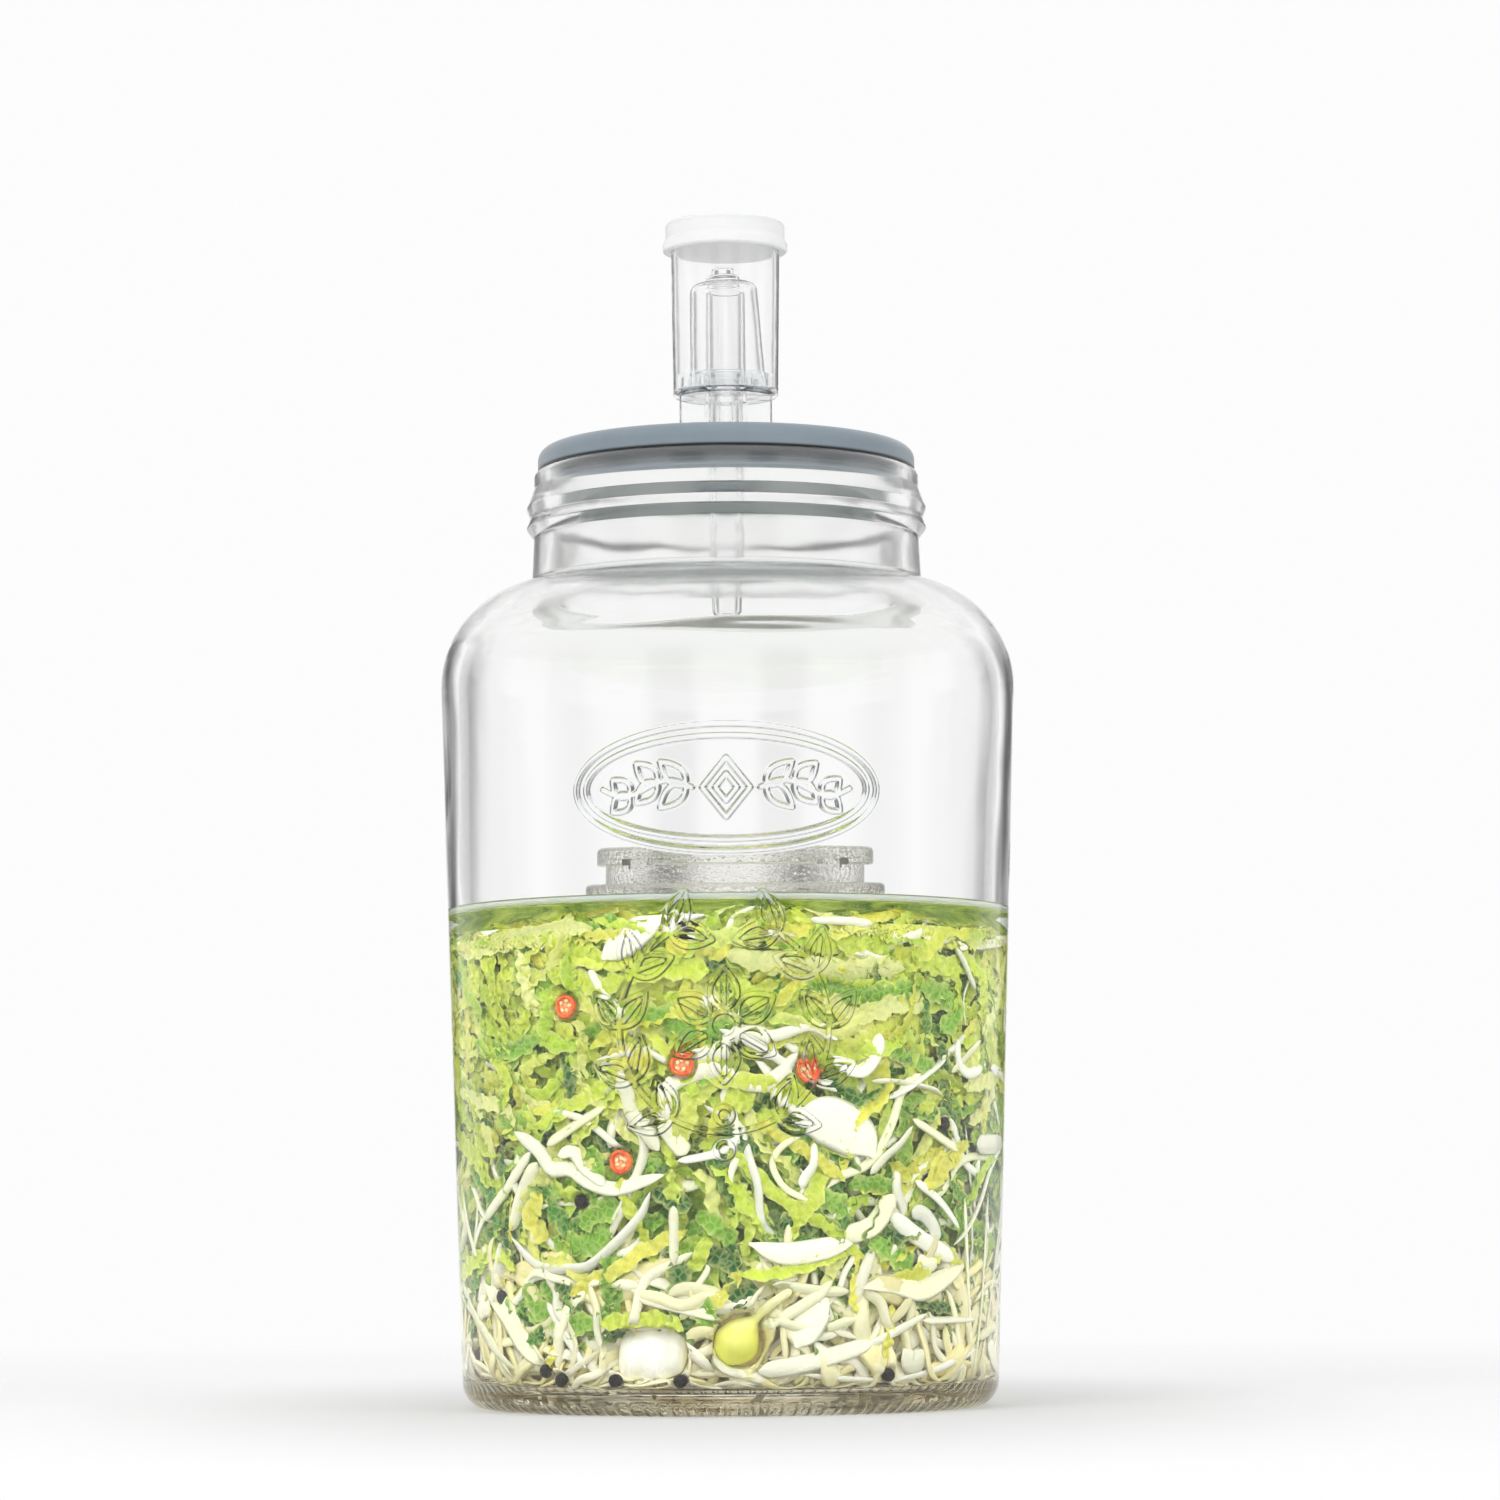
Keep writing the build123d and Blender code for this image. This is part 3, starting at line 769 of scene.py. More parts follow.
def make_brine():
    surface = glass("brine_surface", (0.90, 0.92, 0.92), WATER_IOR, wave=0.0003, wave_scale=60.0, milk=0.1)
    side = make_material("brine_side", see_through)
    # Painted reflection: the meniscus ring is milky bluish grey, for the grey-blue band seen in the brine's
    # curved edge
    rim = glass("brine_meniscus", (0.80, 0.85, 0.92), WATER_IOR, 0.1, milk=0.8)
    wall_gap, rim_width = 0.05, 2.5
    level_radius, foot = bore_radius(BRINE_LEVEL) - wall_gap, bore_radius(0) - wall_gap
    floor = BASE_THICKNESS + PUSH_UP + wall_gap
    points = [(0, floor), (PUSH_UP_RADIUS, floor)]
    points += [(foot - back, BASE_THICKNESS + up) for back, up in ((6, 1), (2, 3), (0, 7))]
    for back in (0, 0.3, 0.7, 1.2, 2, 3, 5, 8):
        points.append((level_radius - back, BRINE_LEVEL + MENISCUS * np.exp(-back / 1.1)))
    points += [(radius, BRINE_LEVEL) for radius in (60, 40, 20, 0)]

    def slot_of(radius, height):
        if height < BRINE_LEVEL - 1 or radius > level_radius - 0.01:
            return 1
        return 2 if radius > level_radius - rim_width else 0

    profile = np.array(points, dtype=float)
    obj = turned("brine_dressed", profile, even_angles(128), [surface, side, rim], slot_of=slot_of)
    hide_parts("brine")
    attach(obj, "jar")


# Shreds. Their flat space is (across, height, depth behind the glass) in mm.


def walk(rng, start, heading, length, sections, bend):
    """Wandering lines in the flat space, one row per shred."""
    count = len(heading)
    share = np.linspace(0, 1, sections)[None, :]
    turn = heading[:, None] + 0
    for waves in (0.6, 1.4, 2.6):
        phase = rng.uniform(0, 2 * pi, (count, 1))
        size = bend * rng.uniform(0.3, 1.0, (count, 1)) / waves**0.5
        turn = turn + size * np.sin(2 * pi * waves * share + phase)
    step = length[:, None] / (sections - 1)
    across, height = np.cumsum(np.cos(turn) * step, axis=1), np.cumsum(np.sin(turn) * step, axis=1)
    middle = sections // 2
    across += start[:, :1] - across[:, middle, None]
    height += start[:, 1:2] - height[:, middle, None]
    sway = np.sin(2 * pi * share * rng.uniform(0.5, 1.6, (count, 1)) + rng.uniform(0, 2 * pi, (count, 1)))
    depth = start[:, 2:] + sway * rng.uniform(0.3, 1.8, (count, 1))
    return np.stack([across, height, depth], axis=-1)


def side_frame(line, twist):
    """Unit vectors across each shred and out of its face, turned about it by the twist."""
    along = np.gradient(line, axis=1)
    along /= np.linalg.norm(along, axis=-1, keepdims=True) + 1e-9
    side = np.cross(np.broadcast_to((0.0, 0.0, 1.0), line.shape), along)
    side /= np.linalg.norm(side, axis=-1, keepdims=True) + 1e-9
    face = np.cross(along, side)
    c, s = np.cos(twist)[..., None], np.sin(twist)[..., None]
    return side * c + face * s, face * c - side * s


def swept(line, side, face, across, out):
    """Points of the section at each point of a line: so far across it and so far out of its face."""
    return line[:, :, None] + side[:, :, None] * across[..., None] + face[:, :, None] * out[..., None]


def narrowing(share, power):
    """Share of the full width along a shred: narrow at both of its cut ends."""
    return np.clip(1 - np.abs(2 * share - 1) ** power, 0.12, 1)


def crinkled(rng, line, width, frill, blister, turning=1.0, across=7):
    """Leaf shreds with blisters and a frilled edge: points of shape (shred, section, across, 3)."""
    count, sections, _ = line.shape
    share = np.linspace(0, 1, sections)[None, :]
    twist = rng.uniform(-0.6, 0.6, (count, 1)) * turning
    swing, waves = rng.uniform(0, turning, (count, 1)), rng.uniform(0.5, 2, (count, 1))
    twist = twist + swing * np.sin(2 * pi * share * waves + rng.uniform(0, 2 * pi, (count, 1)))
    side, face = side_frame(line, twist)
    place = np.linspace(-1, 1, across)[None, None, :]
    step = np.linalg.norm(np.diff(line, axis=1), axis=-1).mean(axis=1)[:, None, None]
    run = np.arange(sections)[None, :, None] * step * rng.uniform(1.0, 1.5, (count, 1, 1))
    lean = rng.uniform(0, 2 * pi, (count, 1, 1))
    wobble = 1 + 0.18 * np.sin(run * 0.7 + lean * 3 + np.sign(place) * lean) + 0.07 * np.sin(run * 2.3 + lean)
    half = width[:, None, None] / 2 * narrowing(share, 8)[:, :, None] * wobble
    edge = frill * np.sin(run * 1.2 + lean + 1.9 * place) * np.abs(place) ** 1.5
    lumps = blister * np.sin(run * 1.5 + lean * 2) * np.cos(place * 3.1 + lean)
    curl = 0.25 * half * place**2 * rng.uniform(-1, 1, (count, 1, 1))
    return swept(line, side, face, half * place, edge + lumps + curl)


def squarish(value):
    return np.sign(value) * np.abs(value) ** 0.75


def round_shreds(rng, line, width, thickness):
    """Firm shreds with a flattened round section: points of shape (shred, section, side, 3)."""
    count, sections, _ = line.shape
    share = np.linspace(0, 1, sections)[None, :]
    twist = rng.uniform(-0.6, 0.6, (count, 1)) + rng.uniform(-0.8, 0.8, (count, 1)) * share
    side, face = side_frame(line, twist)
    turn = even_angles(STRAND_SIDES)[None, None, :]
    power = np.where(width > WIDE_STRAND, 3, 10)[:, None, None]
    half = narrowing(share[..., None], power) / 2
    wide = squarish(np.cos(turn)) * width[:, None, None] * half
    return swept(line, side, face, wide, squarish(np.sin(turn)) * thickness[:, None, None] * half)


def small_pieces():
    """Flat place and reach of each peppercorn, chilli ring, bulb and core, which the shreds keep behind."""
    found = []
    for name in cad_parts:
        if not name.startswith(("peppercorn", "chilli", "onion", "cabbage_core")):
            continue
        low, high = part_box(name)
        middle = (Vector(low) + Vector(high)) / 2 / MM
        across = np.arctan2(middle.x, -middle.y) * FLAT_RADIUS
        reach = (high[2] - low[2]) / 2 / MM
        if name.startswith("onion"):
            for right, up, room in ((0, 0, BULB_RADIUS), (8, 9.5, 3), (12.5, 12.5, 2.6)):
                found.append((across - BULB_SHIFT + right, middle.z - BULB_SHIFT + up, room))
        elif name == "cabbage_core":
            found += [(across + side * reach, middle.z, reach) for side in (-0.9, 0, 0.9)]
        else:
            found.append((across, middle.z, reach))
    return found


SMALL_PIECES = small_pieces()


def on_wall(points):
    """From the flat space to the inside of the jar's wall."""
    across, height, depth = points[..., 0], points[..., 1], points[..., 2]
    aside = between(np.abs(across) / FLAT_RADIUS, 0.6, 1.0)
    low, soft = PACK_FLOOR - SHRED_DROP, PRESSED_HEIGHT
    high = BRINE_LEVEL - PACK_FRONT_DROP - (PACK_EDGE_DROP - PACK_FRONT_DROP) * aside
    high = high + 0.8 * np.sin(across / 7) + 0.5 * np.sin(across / 2.7 + 1)
    height = np.where(height < low + soft, low + soft * np.exp((height - low - soft) / soft), height)
    height = np.where(height > high - soft, high - soft * np.exp((high - soft - height) / soft), height)
    depth = np.maximum(depth, 0.35)
    for middle_across, middle_height, reach in SMALL_PIECES:
        gap = np.hypot(across - middle_across, height - middle_height) / reach
        depth = np.maximum(depth, 2.1 * reach * between(gap, 1.35, 1.1))
    heel = np.clip((16 - height) / 8, 0, 1.06)
    return around(bore_radius(height) - depth - 3.5 * heel**2, across / FLAT_RADIUS, height)


def on_top(points):
    """From flat (x, y, depth) to the pack's top: a leaning seat under the weight, lower at the wall."""
    x, y, depth = points[..., 0], points[..., 1], points[..., 2]
    reach, limit = np.hypot(x, y), bore_radius(BRINE_LEVEL) - 1.5
    pull = np.where(reach > limit, limit / np.maximum(reach, 1), 1)
    x, y = x * pull, y * pull
    seat = SEAT_HEIGHT - 1.2 + np.sin(radians(SEAT_LEAN)) * y
    edge = BRINE_LEVEL - PACK_EDGE_DROP - 1
    share = between(np.hypot(x - SEAT_OFFSET, y), SEAT_RADIUS - 8, SEAT_RADIUS + 10)
    return np.stack([x, y, seat + (edge - seat) * eased(share) - np.maximum(depth, 0.2)], axis=-1)


def shred_object(name, batches, material):
    """Joins batches of (points, tints, wrap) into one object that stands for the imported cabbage."""
    parts, tints = [], []
    for shreds, colours, wrap in batches:
        count, sections, across, _ = shreds.shape
        starts = np.arange(count)[:, None, None] * sections * across
        parts.append((shreds, (starts + grid_faces(sections, across, wrap)[None]).reshape(-1, 4)))
        tints.append(np.broadcast_to(colours, shreds.shape).reshape(-1, 3))
    points, faces = joined(parts)
    obj = mesh_object(name, points, [faces], [material], np.concatenate(tints))
    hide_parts("cabbage_green", "cabbage_pale")
    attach(obj, "jar")


# Tints in linear light
LIME = np.array(
    [(0.80, 0.88, 0.10), (0.66, 0.83, 0.05), (0.92, 0.94, 0.32), (0.48, 0.72, 0.03), (0.90, 0.86, 0.09)]
)
LEAF = np.array([(0.20, 0.50, 0.03), (0.05, 0.28, 0.02), (0.36, 0.64, 0.04), (0.015, 0.13, 0.02)])
WHITE = np.array([(0.98, 0.97, 0.80), (0.99, 0.99, 0.88), (0.95, 0.95, 0.66)])
CREAM = np.array([(0.98, 0.94, 0.62), (0.99, 0.97, 0.80), (0.94, 0.86, 0.44)])
PALE_EDGE = np.array([0.95, 0.97, 0.34])
EDGE_SHARE = 0.5

LEAF_SECTIONS = 50
STRAND_SECTIONS = 20
STRAND_SIDES = 8
WIDE_STRAND = 7.0
FRONT_WIDENING = 1.15


def wall(low, high):
    """Zone of (lowest corner, highest corner, where to) all round the wall, between two heights."""
    return (-FLAT_RADIUS * pi, low), (FLAT_RADIUS * pi, high), on_wall


TOP = (-78.0, -78.0), (78.0, 78.0), on_top

# Scattered leaf shreds: how many, zone, range of depth, of length, of width, tints, range of heading
LEAF_BATCHES = [
    (170, wall(92, 147), (1.8, 4.5), (34, 80), (3.4, 7.0), LIME, (-0.5, 0.5)),
    (120, wall(92, 147), (1.8, 4.5), (26, 60), (3.0, 6.0), LIME, (1.0, 2.1)),
    (330, wall(90, 148), (4.5, 9.5), (30, 70), (3.6, 7.0), LIME),
    (170, wall(88, 143), (3.0, 8.0), (24, 56), (3.4, 7.0), LEAF),
    (150, wall(42, 95), (1.8, 6.0), (26, 60), (3.0, 6.0), LIME),
    (300, wall(40, 95), (2.4, 9.5), (24, 56), (3.4, 7.5), LEAF),
    (60, wall(22, 46), (2.3, 7.0), (14, 36), (3.0, 6.4), LEAF),
    (330, TOP, (0.4, 5.0), (22, 56), (2.8, 5.6), LIME),
]

# Scattered firm strands: how many, zone, range of depth, of length, of width, tints, bend
STRAND_BATCHES = [
    (70, wall(92, 146), (2.4, 8.0), (16, 46), (1.8, 3.8), WHITE),
    (150, wall(44, 95), (2.4, 8.0), (18, 55), (1.8, 4.2), WHITE),
    (520, wall(11, 42), (1.9, 9.0), (18, 50), (1.8, 4.4), CREAM),
    (120, wall(12, 46), (2.6, 8.0), (16, 34), (5.0, 9.5), CREAM, 0.25),
    (90, TOP, (0.4, 5.0), (16, 44), (1.8, 3.6), WHITE),
    (110, wall(7, 14), (1.4, 5.0), (18, 46), (1.8, 3.8), CREAM),
]

# White strands seen at the front: width, then places of (angle in degrees, height)
FRONT_STRANDS = [
    (8.9, (-27, 133), (-20, 140), (-13, 146)),
    (3.1, (-13, 140), (-5, 148)),
    (2.7, (17, 144), (23, 144), (31, 143)),
    (2.4, (-2, 112), (6, 107), (13, 101), (23, 94)),
    (2.0, (54, 100), (66, 110)),
    (2.7, (42, 86), (57, 77)),
    (2.0, (-80, 69), (-76, 56), (-70, 46)),
    (3.1, (-54, 52), (-46, 44), (-36, 43), (-30, 45), (-20, 57), (-17, 65)),
    (1.7, (-84, 35), (-66, 24), (-56, 11)),
    (2.7, (-12, 61), (-12, 52), (-12, 44)),
    (2.4, (-43, 33), (-38, 23), (-33, 14)),
    (2.0, (-30, 30), (-30, 25), (-29, 20)),
    (6.2, (4, 50), (11, 47), (19, 48), (28, 51)),
    (5.4, (25, 52), (32, 55), (37, 64)),
    (4.7, (36, 58), (45, 51), (56, 45)),
    (1.7, (60, 63), (63, 33), (65, 11)),
    (1.7, (72, 64), (70, 33), (66, 11)),
    (1.7, (84, 60), (76, 33), (69, 11)),
    (1.4, (88, 50), (82, 26), (74, 11)),
    (2.4, (10, 11), (27, 18), (47, 29)),
    (2.0, (16, 12), (28, 10), (42, 10), (67, 18)),
    (2.0, (-40, 89), (-32, 86), (-23, 77)),
    (2.0, (35, 92), (42, 96), (52, 104)),
    (2.0, (-20, 34), (-11, 31), (-2, 28)),
    (2.7, (9, 28), (18, 25), (28, 28)),
    (2.4, (43, 68), (51, 62), (58, 54)),
    (1.7, (-29, 103), (-19, 106), (-12, 102)),
    (4.2, (-52, 83), (-45, 78), (-41, 72), (-36, 72), (-31, 68), (-25, 66), (-19, 68), (-14, 70)),
    (3.9, (-39, 76), (-35, 77), (-32, 72), (-27, 67)),
    (3.3, (-42, 79), (-34, 85), (-27, 90)),
    (3.1, (-47, 77), (-55, 67), (-65, 57)),
    (4.2, (-45, 74), (-50, 65), (-54, 54)),
    (4.4, (-84, 73), (-84, 65), (-78, 56), (-84, 47)),
    (4.2, (-82, 38), (-73, 29), (-63, 19), (-54, 13)),
    (6.7, (-66, 38), (-57, 30), (-50, 20), (-44, 14)),
    (3.9, (-84, 26), (-84, 14), (-84, 7)),
    (2.8, (-14, 12), (-10, 11), (-6, 8), (-2, 5)),
    (1.7, (-11, 38), (-8, 37), (-5, 42), (-5, 44)),
    (4.2, (-24, 99), (-22, 94), (-21, 88), (-18, 83), (-15, 77)),
    (4.4, (-13, 86), (-13, 94), (-10, 98), (-4, 100), (0, 99)),
    (4.4, (-2, 99), (6, 96), (11, 99), (15, 105)),
    (5.0, (-14, 86), (-12, 81), (-9, 76)),
    (4.2, (-12, 101), (-7, 104), (0, 105)),
    (2.5, (2, 81), (-1, 77), (-6, 75), (-11, 74)),
    (2.5, (-30, 130), (-28, 125), (-26, 120)),
    (1.7, (55, 137), (59, 132), (63, 125)),
    (4.7, (84, 122), (84, 117), (84, 113)),
    (3.3, (56, 110), (57, 103), (61, 100), (67, 102)),
    (4.2, (33, 111), (32, 105), (29, 100), (25, 101), (22, 104)),
    (3.3, (-2, 106), (2, 111), (9, 110), (17, 113), (23, 109)),
    (1.7, (31, 97), (38, 97), (48, 95), (51, 93)),
    (13.3, (14, 87), (22, 85), (29, 80), (32, 75)),
    (3.3, (72, 102), (84, 99), (84, 93)),
    (5.6, (65, 79), (70, 79), (84, 79)),
    (1.8, (15, 81), (11, 78), (9, 73), (11, 67), (14, 64), (18, 62)),
    (2.8, (31, 70), (35, 75), (39, 79), (42, 84)),
    (3.9, (44, 45), (46, 44), (50, 43)),
    (2.8, (9, 38), (15, 37), (21, 36), (26, 36)),
    (6.7, (29, 37), (37, 38), (45, 36), (52, 39), (60, 43)),
    (3.1, (6, 25), (13, 30), (19, 35), (22, 39)),
    (5.0, (6, 13), (15, 15), (24, 18), (32, 21)),
    (2.3, (46, 27), (54, 27), (66, 27)),
    (1.7, (84, 80), (74, 72), (68, 62), (62, 54), (56, 49)),
    (4.2, (42, 59), (46, 58), (49, 54), (50, 50)),
    (3.3, (15, 66), (16, 69), (18, 73), (18, 79)),
    (9.5, (14, 20), (17, 27), (21, 34)),
    (6.7, (40, 19), (43, 15), (48, 17)),
    (8.3, (74, 19), (84, 13), (84, 7)),
]

# Leaf shreds seen at the front: tone, width, then places of (angle in degrees, height)
FRONT_LEAVES = [
    ("pale", 3.9, (-84, 137), (-84, 131), (-84, 116), (-84, 104)),
    ("lime", 4.4, (-58, 136), (-59, 128), (-56, 118), (-54, 109)),
    ("pale", 4.4, (-50, 137), (-48, 130), (-46, 122), (-43, 117)),
    ("lime", 3.9, (-62, 114), (-59, 106), (-54, 98), (-57, 89)),
    ("pale", 5.0, (-74, 137), (-51, 140), (-38, 143), (-29, 142)),
    ("pale", 3.9, (-84, 97), (-84, 99), (-67, 93), (-55, 90), (-52, 84)),
    ("lime", 5.6, (-43, 140), (-35, 136), (-29, 134), (-27, 130)),
    ("green", 5.0, (-68, 110), (-53, 107), (-43, 111)),
    ("lime", 4.4, (-45, 84), (-36, 90), (-31, 93), (-26, 97)),
    ("green", 5.0, (-31, 143), (-27, 141), (-24, 146)),
    ("lime", 5.0, (-41, 130), (-33, 127), (-27, 125), (-22, 128)),
    ("yellow", 7.2, (-13, 136), (-8, 138), (-4, 137), (0, 134)),
    ("lime", 6.1, (-22, 128), (-13, 130), (-4, 129)),
    ("green", 7.2, (-18, 117), (-11, 114), (-4, 111), (1, 114)),
    ("yellow", 6.1, (-26, 105), (-21, 104), (-16, 103)),
    ("lime", 5.6, (-84, 84), (-69, 76), (-62, 68)),
    ("green", 4.4, (-32, 78), (-29, 73), (-31, 67)),
    ("pale", 6.1, (-1, 134), (11, 131), (23, 129), (40, 131)),
    ("lime", 5.6, (16, 137), (23, 137), (31, 138)),
    ("lime", 6.1, (41, 135), (49, 132), (57, 130)),
    ("green", 6.7, (16, 125), (23, 124), (33, 122), (44, 125)),
    ("lime", 5.6, (1, 125), (6, 121), (12, 119)),
    ("green", 6.1, (44, 125), (51, 123), (56, 118), (50, 112)),
    ("pale", 5.0, (25, 116), (31, 117), (38, 120), (45, 119)),
    ("pale", 3.9, (84, 137), (80, 129), (74, 119), (67, 112)),
    ("lime", 4.4, (60, 133), (67, 127), (66, 115)),
    ("green", 3.9, (72, 96), (84, 88), (84, 75), (84, 66)),
    ("green", 4.4, (36, 110), (38, 105), (44, 103), (50, 100)),
    ("pale", 4.4, (59, 96), (72, 98), (72, 92), (61, 85)),
    ("yellow", 5.0, (58, 77), (52, 72), (49, 66)),
    ("dark", 5.0, (-1, 84), (3, 79), (8, 77)),
    ("lime", 6.1, (-1, 92), (2, 92), (5, 90)),
    ("yellow", 3.3, (5, 85), (11, 81), (18, 75), (25, 68)),
    ("lime", 3.6, (-2, 78), (4, 72), (10, 64), (16, 59), (22, 54), (30, 45)),
    ("dark", 6.1, (0, 50), (1, 45), (0, 38)),
    ("dark", 5.6, (10, 56), (15, 55), (20, 56)),
    ("green", 4.4, (26, 67), (34, 67), (39, 65)),
    ("green", 6.1, (18, 64), (22, 62), (26, 59)),
    ("green", 7.8, (31, 52), (37, 48), (43, 43)),
    ("dark", 6.7, (30, 48), (37, 52), (48, 57)),
    ("lime", 3.3, (2, 41), (9, 41), (15, 43), (22, 46), (26, 47)),
    ("yellow", 2.2, (28, 47), (28, 42), (27, 35), (28, 29)),
    ("dark", 7.2, (-1, 33), (3, 35), (6, 37)),
    ("dark", 3.3, (44, 33), (52, 31), (65, 30)),
    ("yellow", 2.8, (37, 32), (37, 27), (35, 16)),
    ("green", 3.3, (84, 82), (84, 72), (84, 61)),
    ("yellow", 4.4, (47, 65), (49, 71), (53, 76)),
    ("green", 3.3, (-84, 72), (-84, 61), (-84, 49), (-84, 38)),
    ("lime", 5.0, (-84, 40), (-68, 46), (-58, 47), (-53, 42)),
    ("dark", 3.9, (-60, 56), (-56, 50), (-53, 45)),
    ("green", 5.6, (-49, 40), (-48, 34), (-43, 29), (-37, 27), (-29, 27)),
    ("lime", 4.4, (-29, 27), (-22, 28), (-15, 28), (-10, 25)),
    ("dark", 3.3, (-51, 29), (-48, 25), (-44, 22)),
    ("dark", 4.4, (-29, 24), (-24, 23), (-22, 25)),
    ("dark", 5.0, (-41, 39), (-37, 35), (-34, 31)),
    ("yellow", 3.9, (-37, 35), (-31, 39), (-24, 43), (-20, 47), (-14, 51), (-9, 54)),
    ("green", 7.8, (-41, 52), (-36, 49), (-30, 51), (-27, 56)),
    ("green", 6.7, (-34, 56), (-29, 59), (-24, 62)),
    ("yellow", 6.1, (-44, 65), (-47, 58), (-43, 51)),
    ("dark", 5.0, (-16, 66), (-12, 62), (-8, 62)),
    ("dark", 6.1, (-5, 48), (-1, 45), (2, 44)),
    ("dark", 6.7, (-11, 46), (-11, 38), (-11, 30), (-8, 21)),
    ("green", 6.7, (-7, 34), (-5, 29), (-6, 23)),
    ("lime", 3.9, (-5, 52), (-6, 47), (-9, 42)),
    ("green", 5.0, (-7, 59), (-2, 54), (1, 50)),
    ("yellow", 3.3, (2, 42), (-1, 36), (-5, 31)),
    ("yellow", 2.2, (-42, 21), (-42, 17), (-45, 13)),
    ("green", 5.0, (-31, 77), (-31, 72), (-33, 67)),
]

# Tint and depth of each tone
TONES = {
    "pale": ((0.92, 0.94, 0.40), 1.3),
    "yellow": ((0.95, 0.90, 0.12), 1.2),
    "lime": ((0.70, 0.84, 0.06), 1.4),
    "green": ((0.22, 0.50, 0.03), 1.8),
    "dark": ((0.02, 0.15, 0.02), 2.1),
}


def picked(rng, palette, count):
    """One tint per shred, between two of the palette's colours."""
    one, other = palette[rng.integers(0, len(palette), (2, count))]
    share = rng.uniform(0, 1, (count, 1))
    tints = (one * share + other * (1 - share)) * rng.uniform(0.84, 1.03, (count, 1))
    return tints[:, None, None, :]


def pale_edged(tints, across):
    """Leaf tints that turn paler towards both edges."""
    edge = np.abs(np.linspace(-1, 1, across))[:, None] ** 3 * EDGE_SHARE
    return tints * (1 - edge) + PALE_EDGE * edge


def scattered(rng, count, low, high, depth):
    ranges = (low[0], high[0]), (low[1], high[1]), depth
    return np.stack([rng.uniform(*limits, count) for limits in ranges], 1)


def leaf_batch(rng, count, zone, depth, length, width, palette, heading=(0, pi)):
    """Leaf shreds scattered in a zone."""
    low, high, place = zone
    start = scattered(rng, count, low, high, depth)
    lengths = rng.uniform(*length, count)
    line = walk(rng, start, rng.uniform(*heading, count), lengths, LEAF_SECTIONS, bend=0.65)
    shreds = crinkled(rng, line, rng.uniform(*width, count), frill=0.75, blister=0.4)
    return place(shreds), pale_edged(picked(rng, palette, count), shreds.shape[2]), False


def strand_batch(rng, count, zone, depth, length, width, palette, bend=0.45):
    """Firm strands scattered in a zone."""
    low, high, place = zone
    start = scattered(rng, count, low, high, depth)
    headings = rng.uniform(0, pi, count)
    line = walk(rng, start, headings, rng.uniform(*length, count), STRAND_SECTIONS, bend)
    widths = rng.uniform(*width, count)
    thickness = np.minimum(widths * rng.uniform(0.35, 0.65, count), 3)
    return place(round_shreds(rng, line, widths, thickness)), picked(rng, palette, count), True


def through_places(places, sections):
    """Smooth line through places of (angle, height), in the flat space and cut into even sections."""
    corners = np.array([(radians(angle) * FLAT_RADIUS, height) for angle, height in places])
    ends = np.concatenate([[2 * corners[0] - corners[1]], corners, [2 * corners[-1] - corners[-2]]])
    points = []
    for a, b, c, d in zip(ends[:-3], ends[1:-2], ends[2:-1], ends[3:]):
        square, cube = 2 * a - 5 * b + 4 * c - d, 3 * b - a - 3 * c + d
        for t in np.linspace(0, 1, 12, endpoint=False):
            points.append(0.5 * (2 * b + (c - a) * t + square * t**2 + cube * t**3))
    return evened(np.array(points + [corners[-1]]), sections)


def front_strands(rng):
    """The strands that the photograph shows at the front, each at its own place."""
    sections = 24
    depth = 1.1 + 0.5 * np.sin(np.linspace(0, pi, sections))[:, None]
    lines = []
    for _, *places in FRONT_STRANDS:
        lines.append(np.concatenate([through_places(places, sections), depth], axis=1))
    widths = np.array([row[0] for row in FRONT_STRANDS]) * FRONT_WIDENING
    shreds = round_shreds(rng, np.array(lines), widths, np.clip(widths * 0.5, 0.9, 1.8))
    return on_wall(shreds), picked(rng, WHITE, len(lines)), True


def front_leaves(rng):
    """The leaf shreds that the photograph shows at the front, each at its own place."""
    lines, tints = [], []
    for tone, _, *places in FRONT_LEAVES:
        colour, depth = TONES[tone]
        sway = depth + 0.4 * np.sin(np.linspace(0, 2 * pi, LEAF_SECTIONS) + rng.uniform(0, 6))
        lines.append(np.concatenate([through_places(places, LEAF_SECTIONS), sway[:, None]], axis=1))
        tints.append(np.array(colour) * rng.uniform(0.88, 1.05))
    widths = np.array([row[1] for row in FRONT_LEAVES]) * FRONT_WIDENING
    shreds = crinkled(rng, np.array(lines), widths, frill=0.6, blister=0.35, turning=0.35, across=8)
    return on_wall(shreds), pale_edged(np.array(tints)[:, None, None, :], shreds.shape[2]), False


def make_shreds():
    rng = np.random.default_rng(RANDOM_SEED)
    leaves = [front_leaves(rng)] + [leaf_batch(rng, *row) for row in LEAF_BATCHES]
    strands = [front_strands(rng)] + [strand_batch(rng, *row) for row in STRAND_BATCHES]
    soft = make_material("cabbage_leaf", leaf, 0.22, 0.3, 200.0, 0.55)
    firm = make_material("cabbage_strand", leaf, 0.06, 0.3, 120.0, 0.12)
    shred_object("cabbage_leaves", leaves, soft)
    shred_object("cabbage_strands", strands, firm)


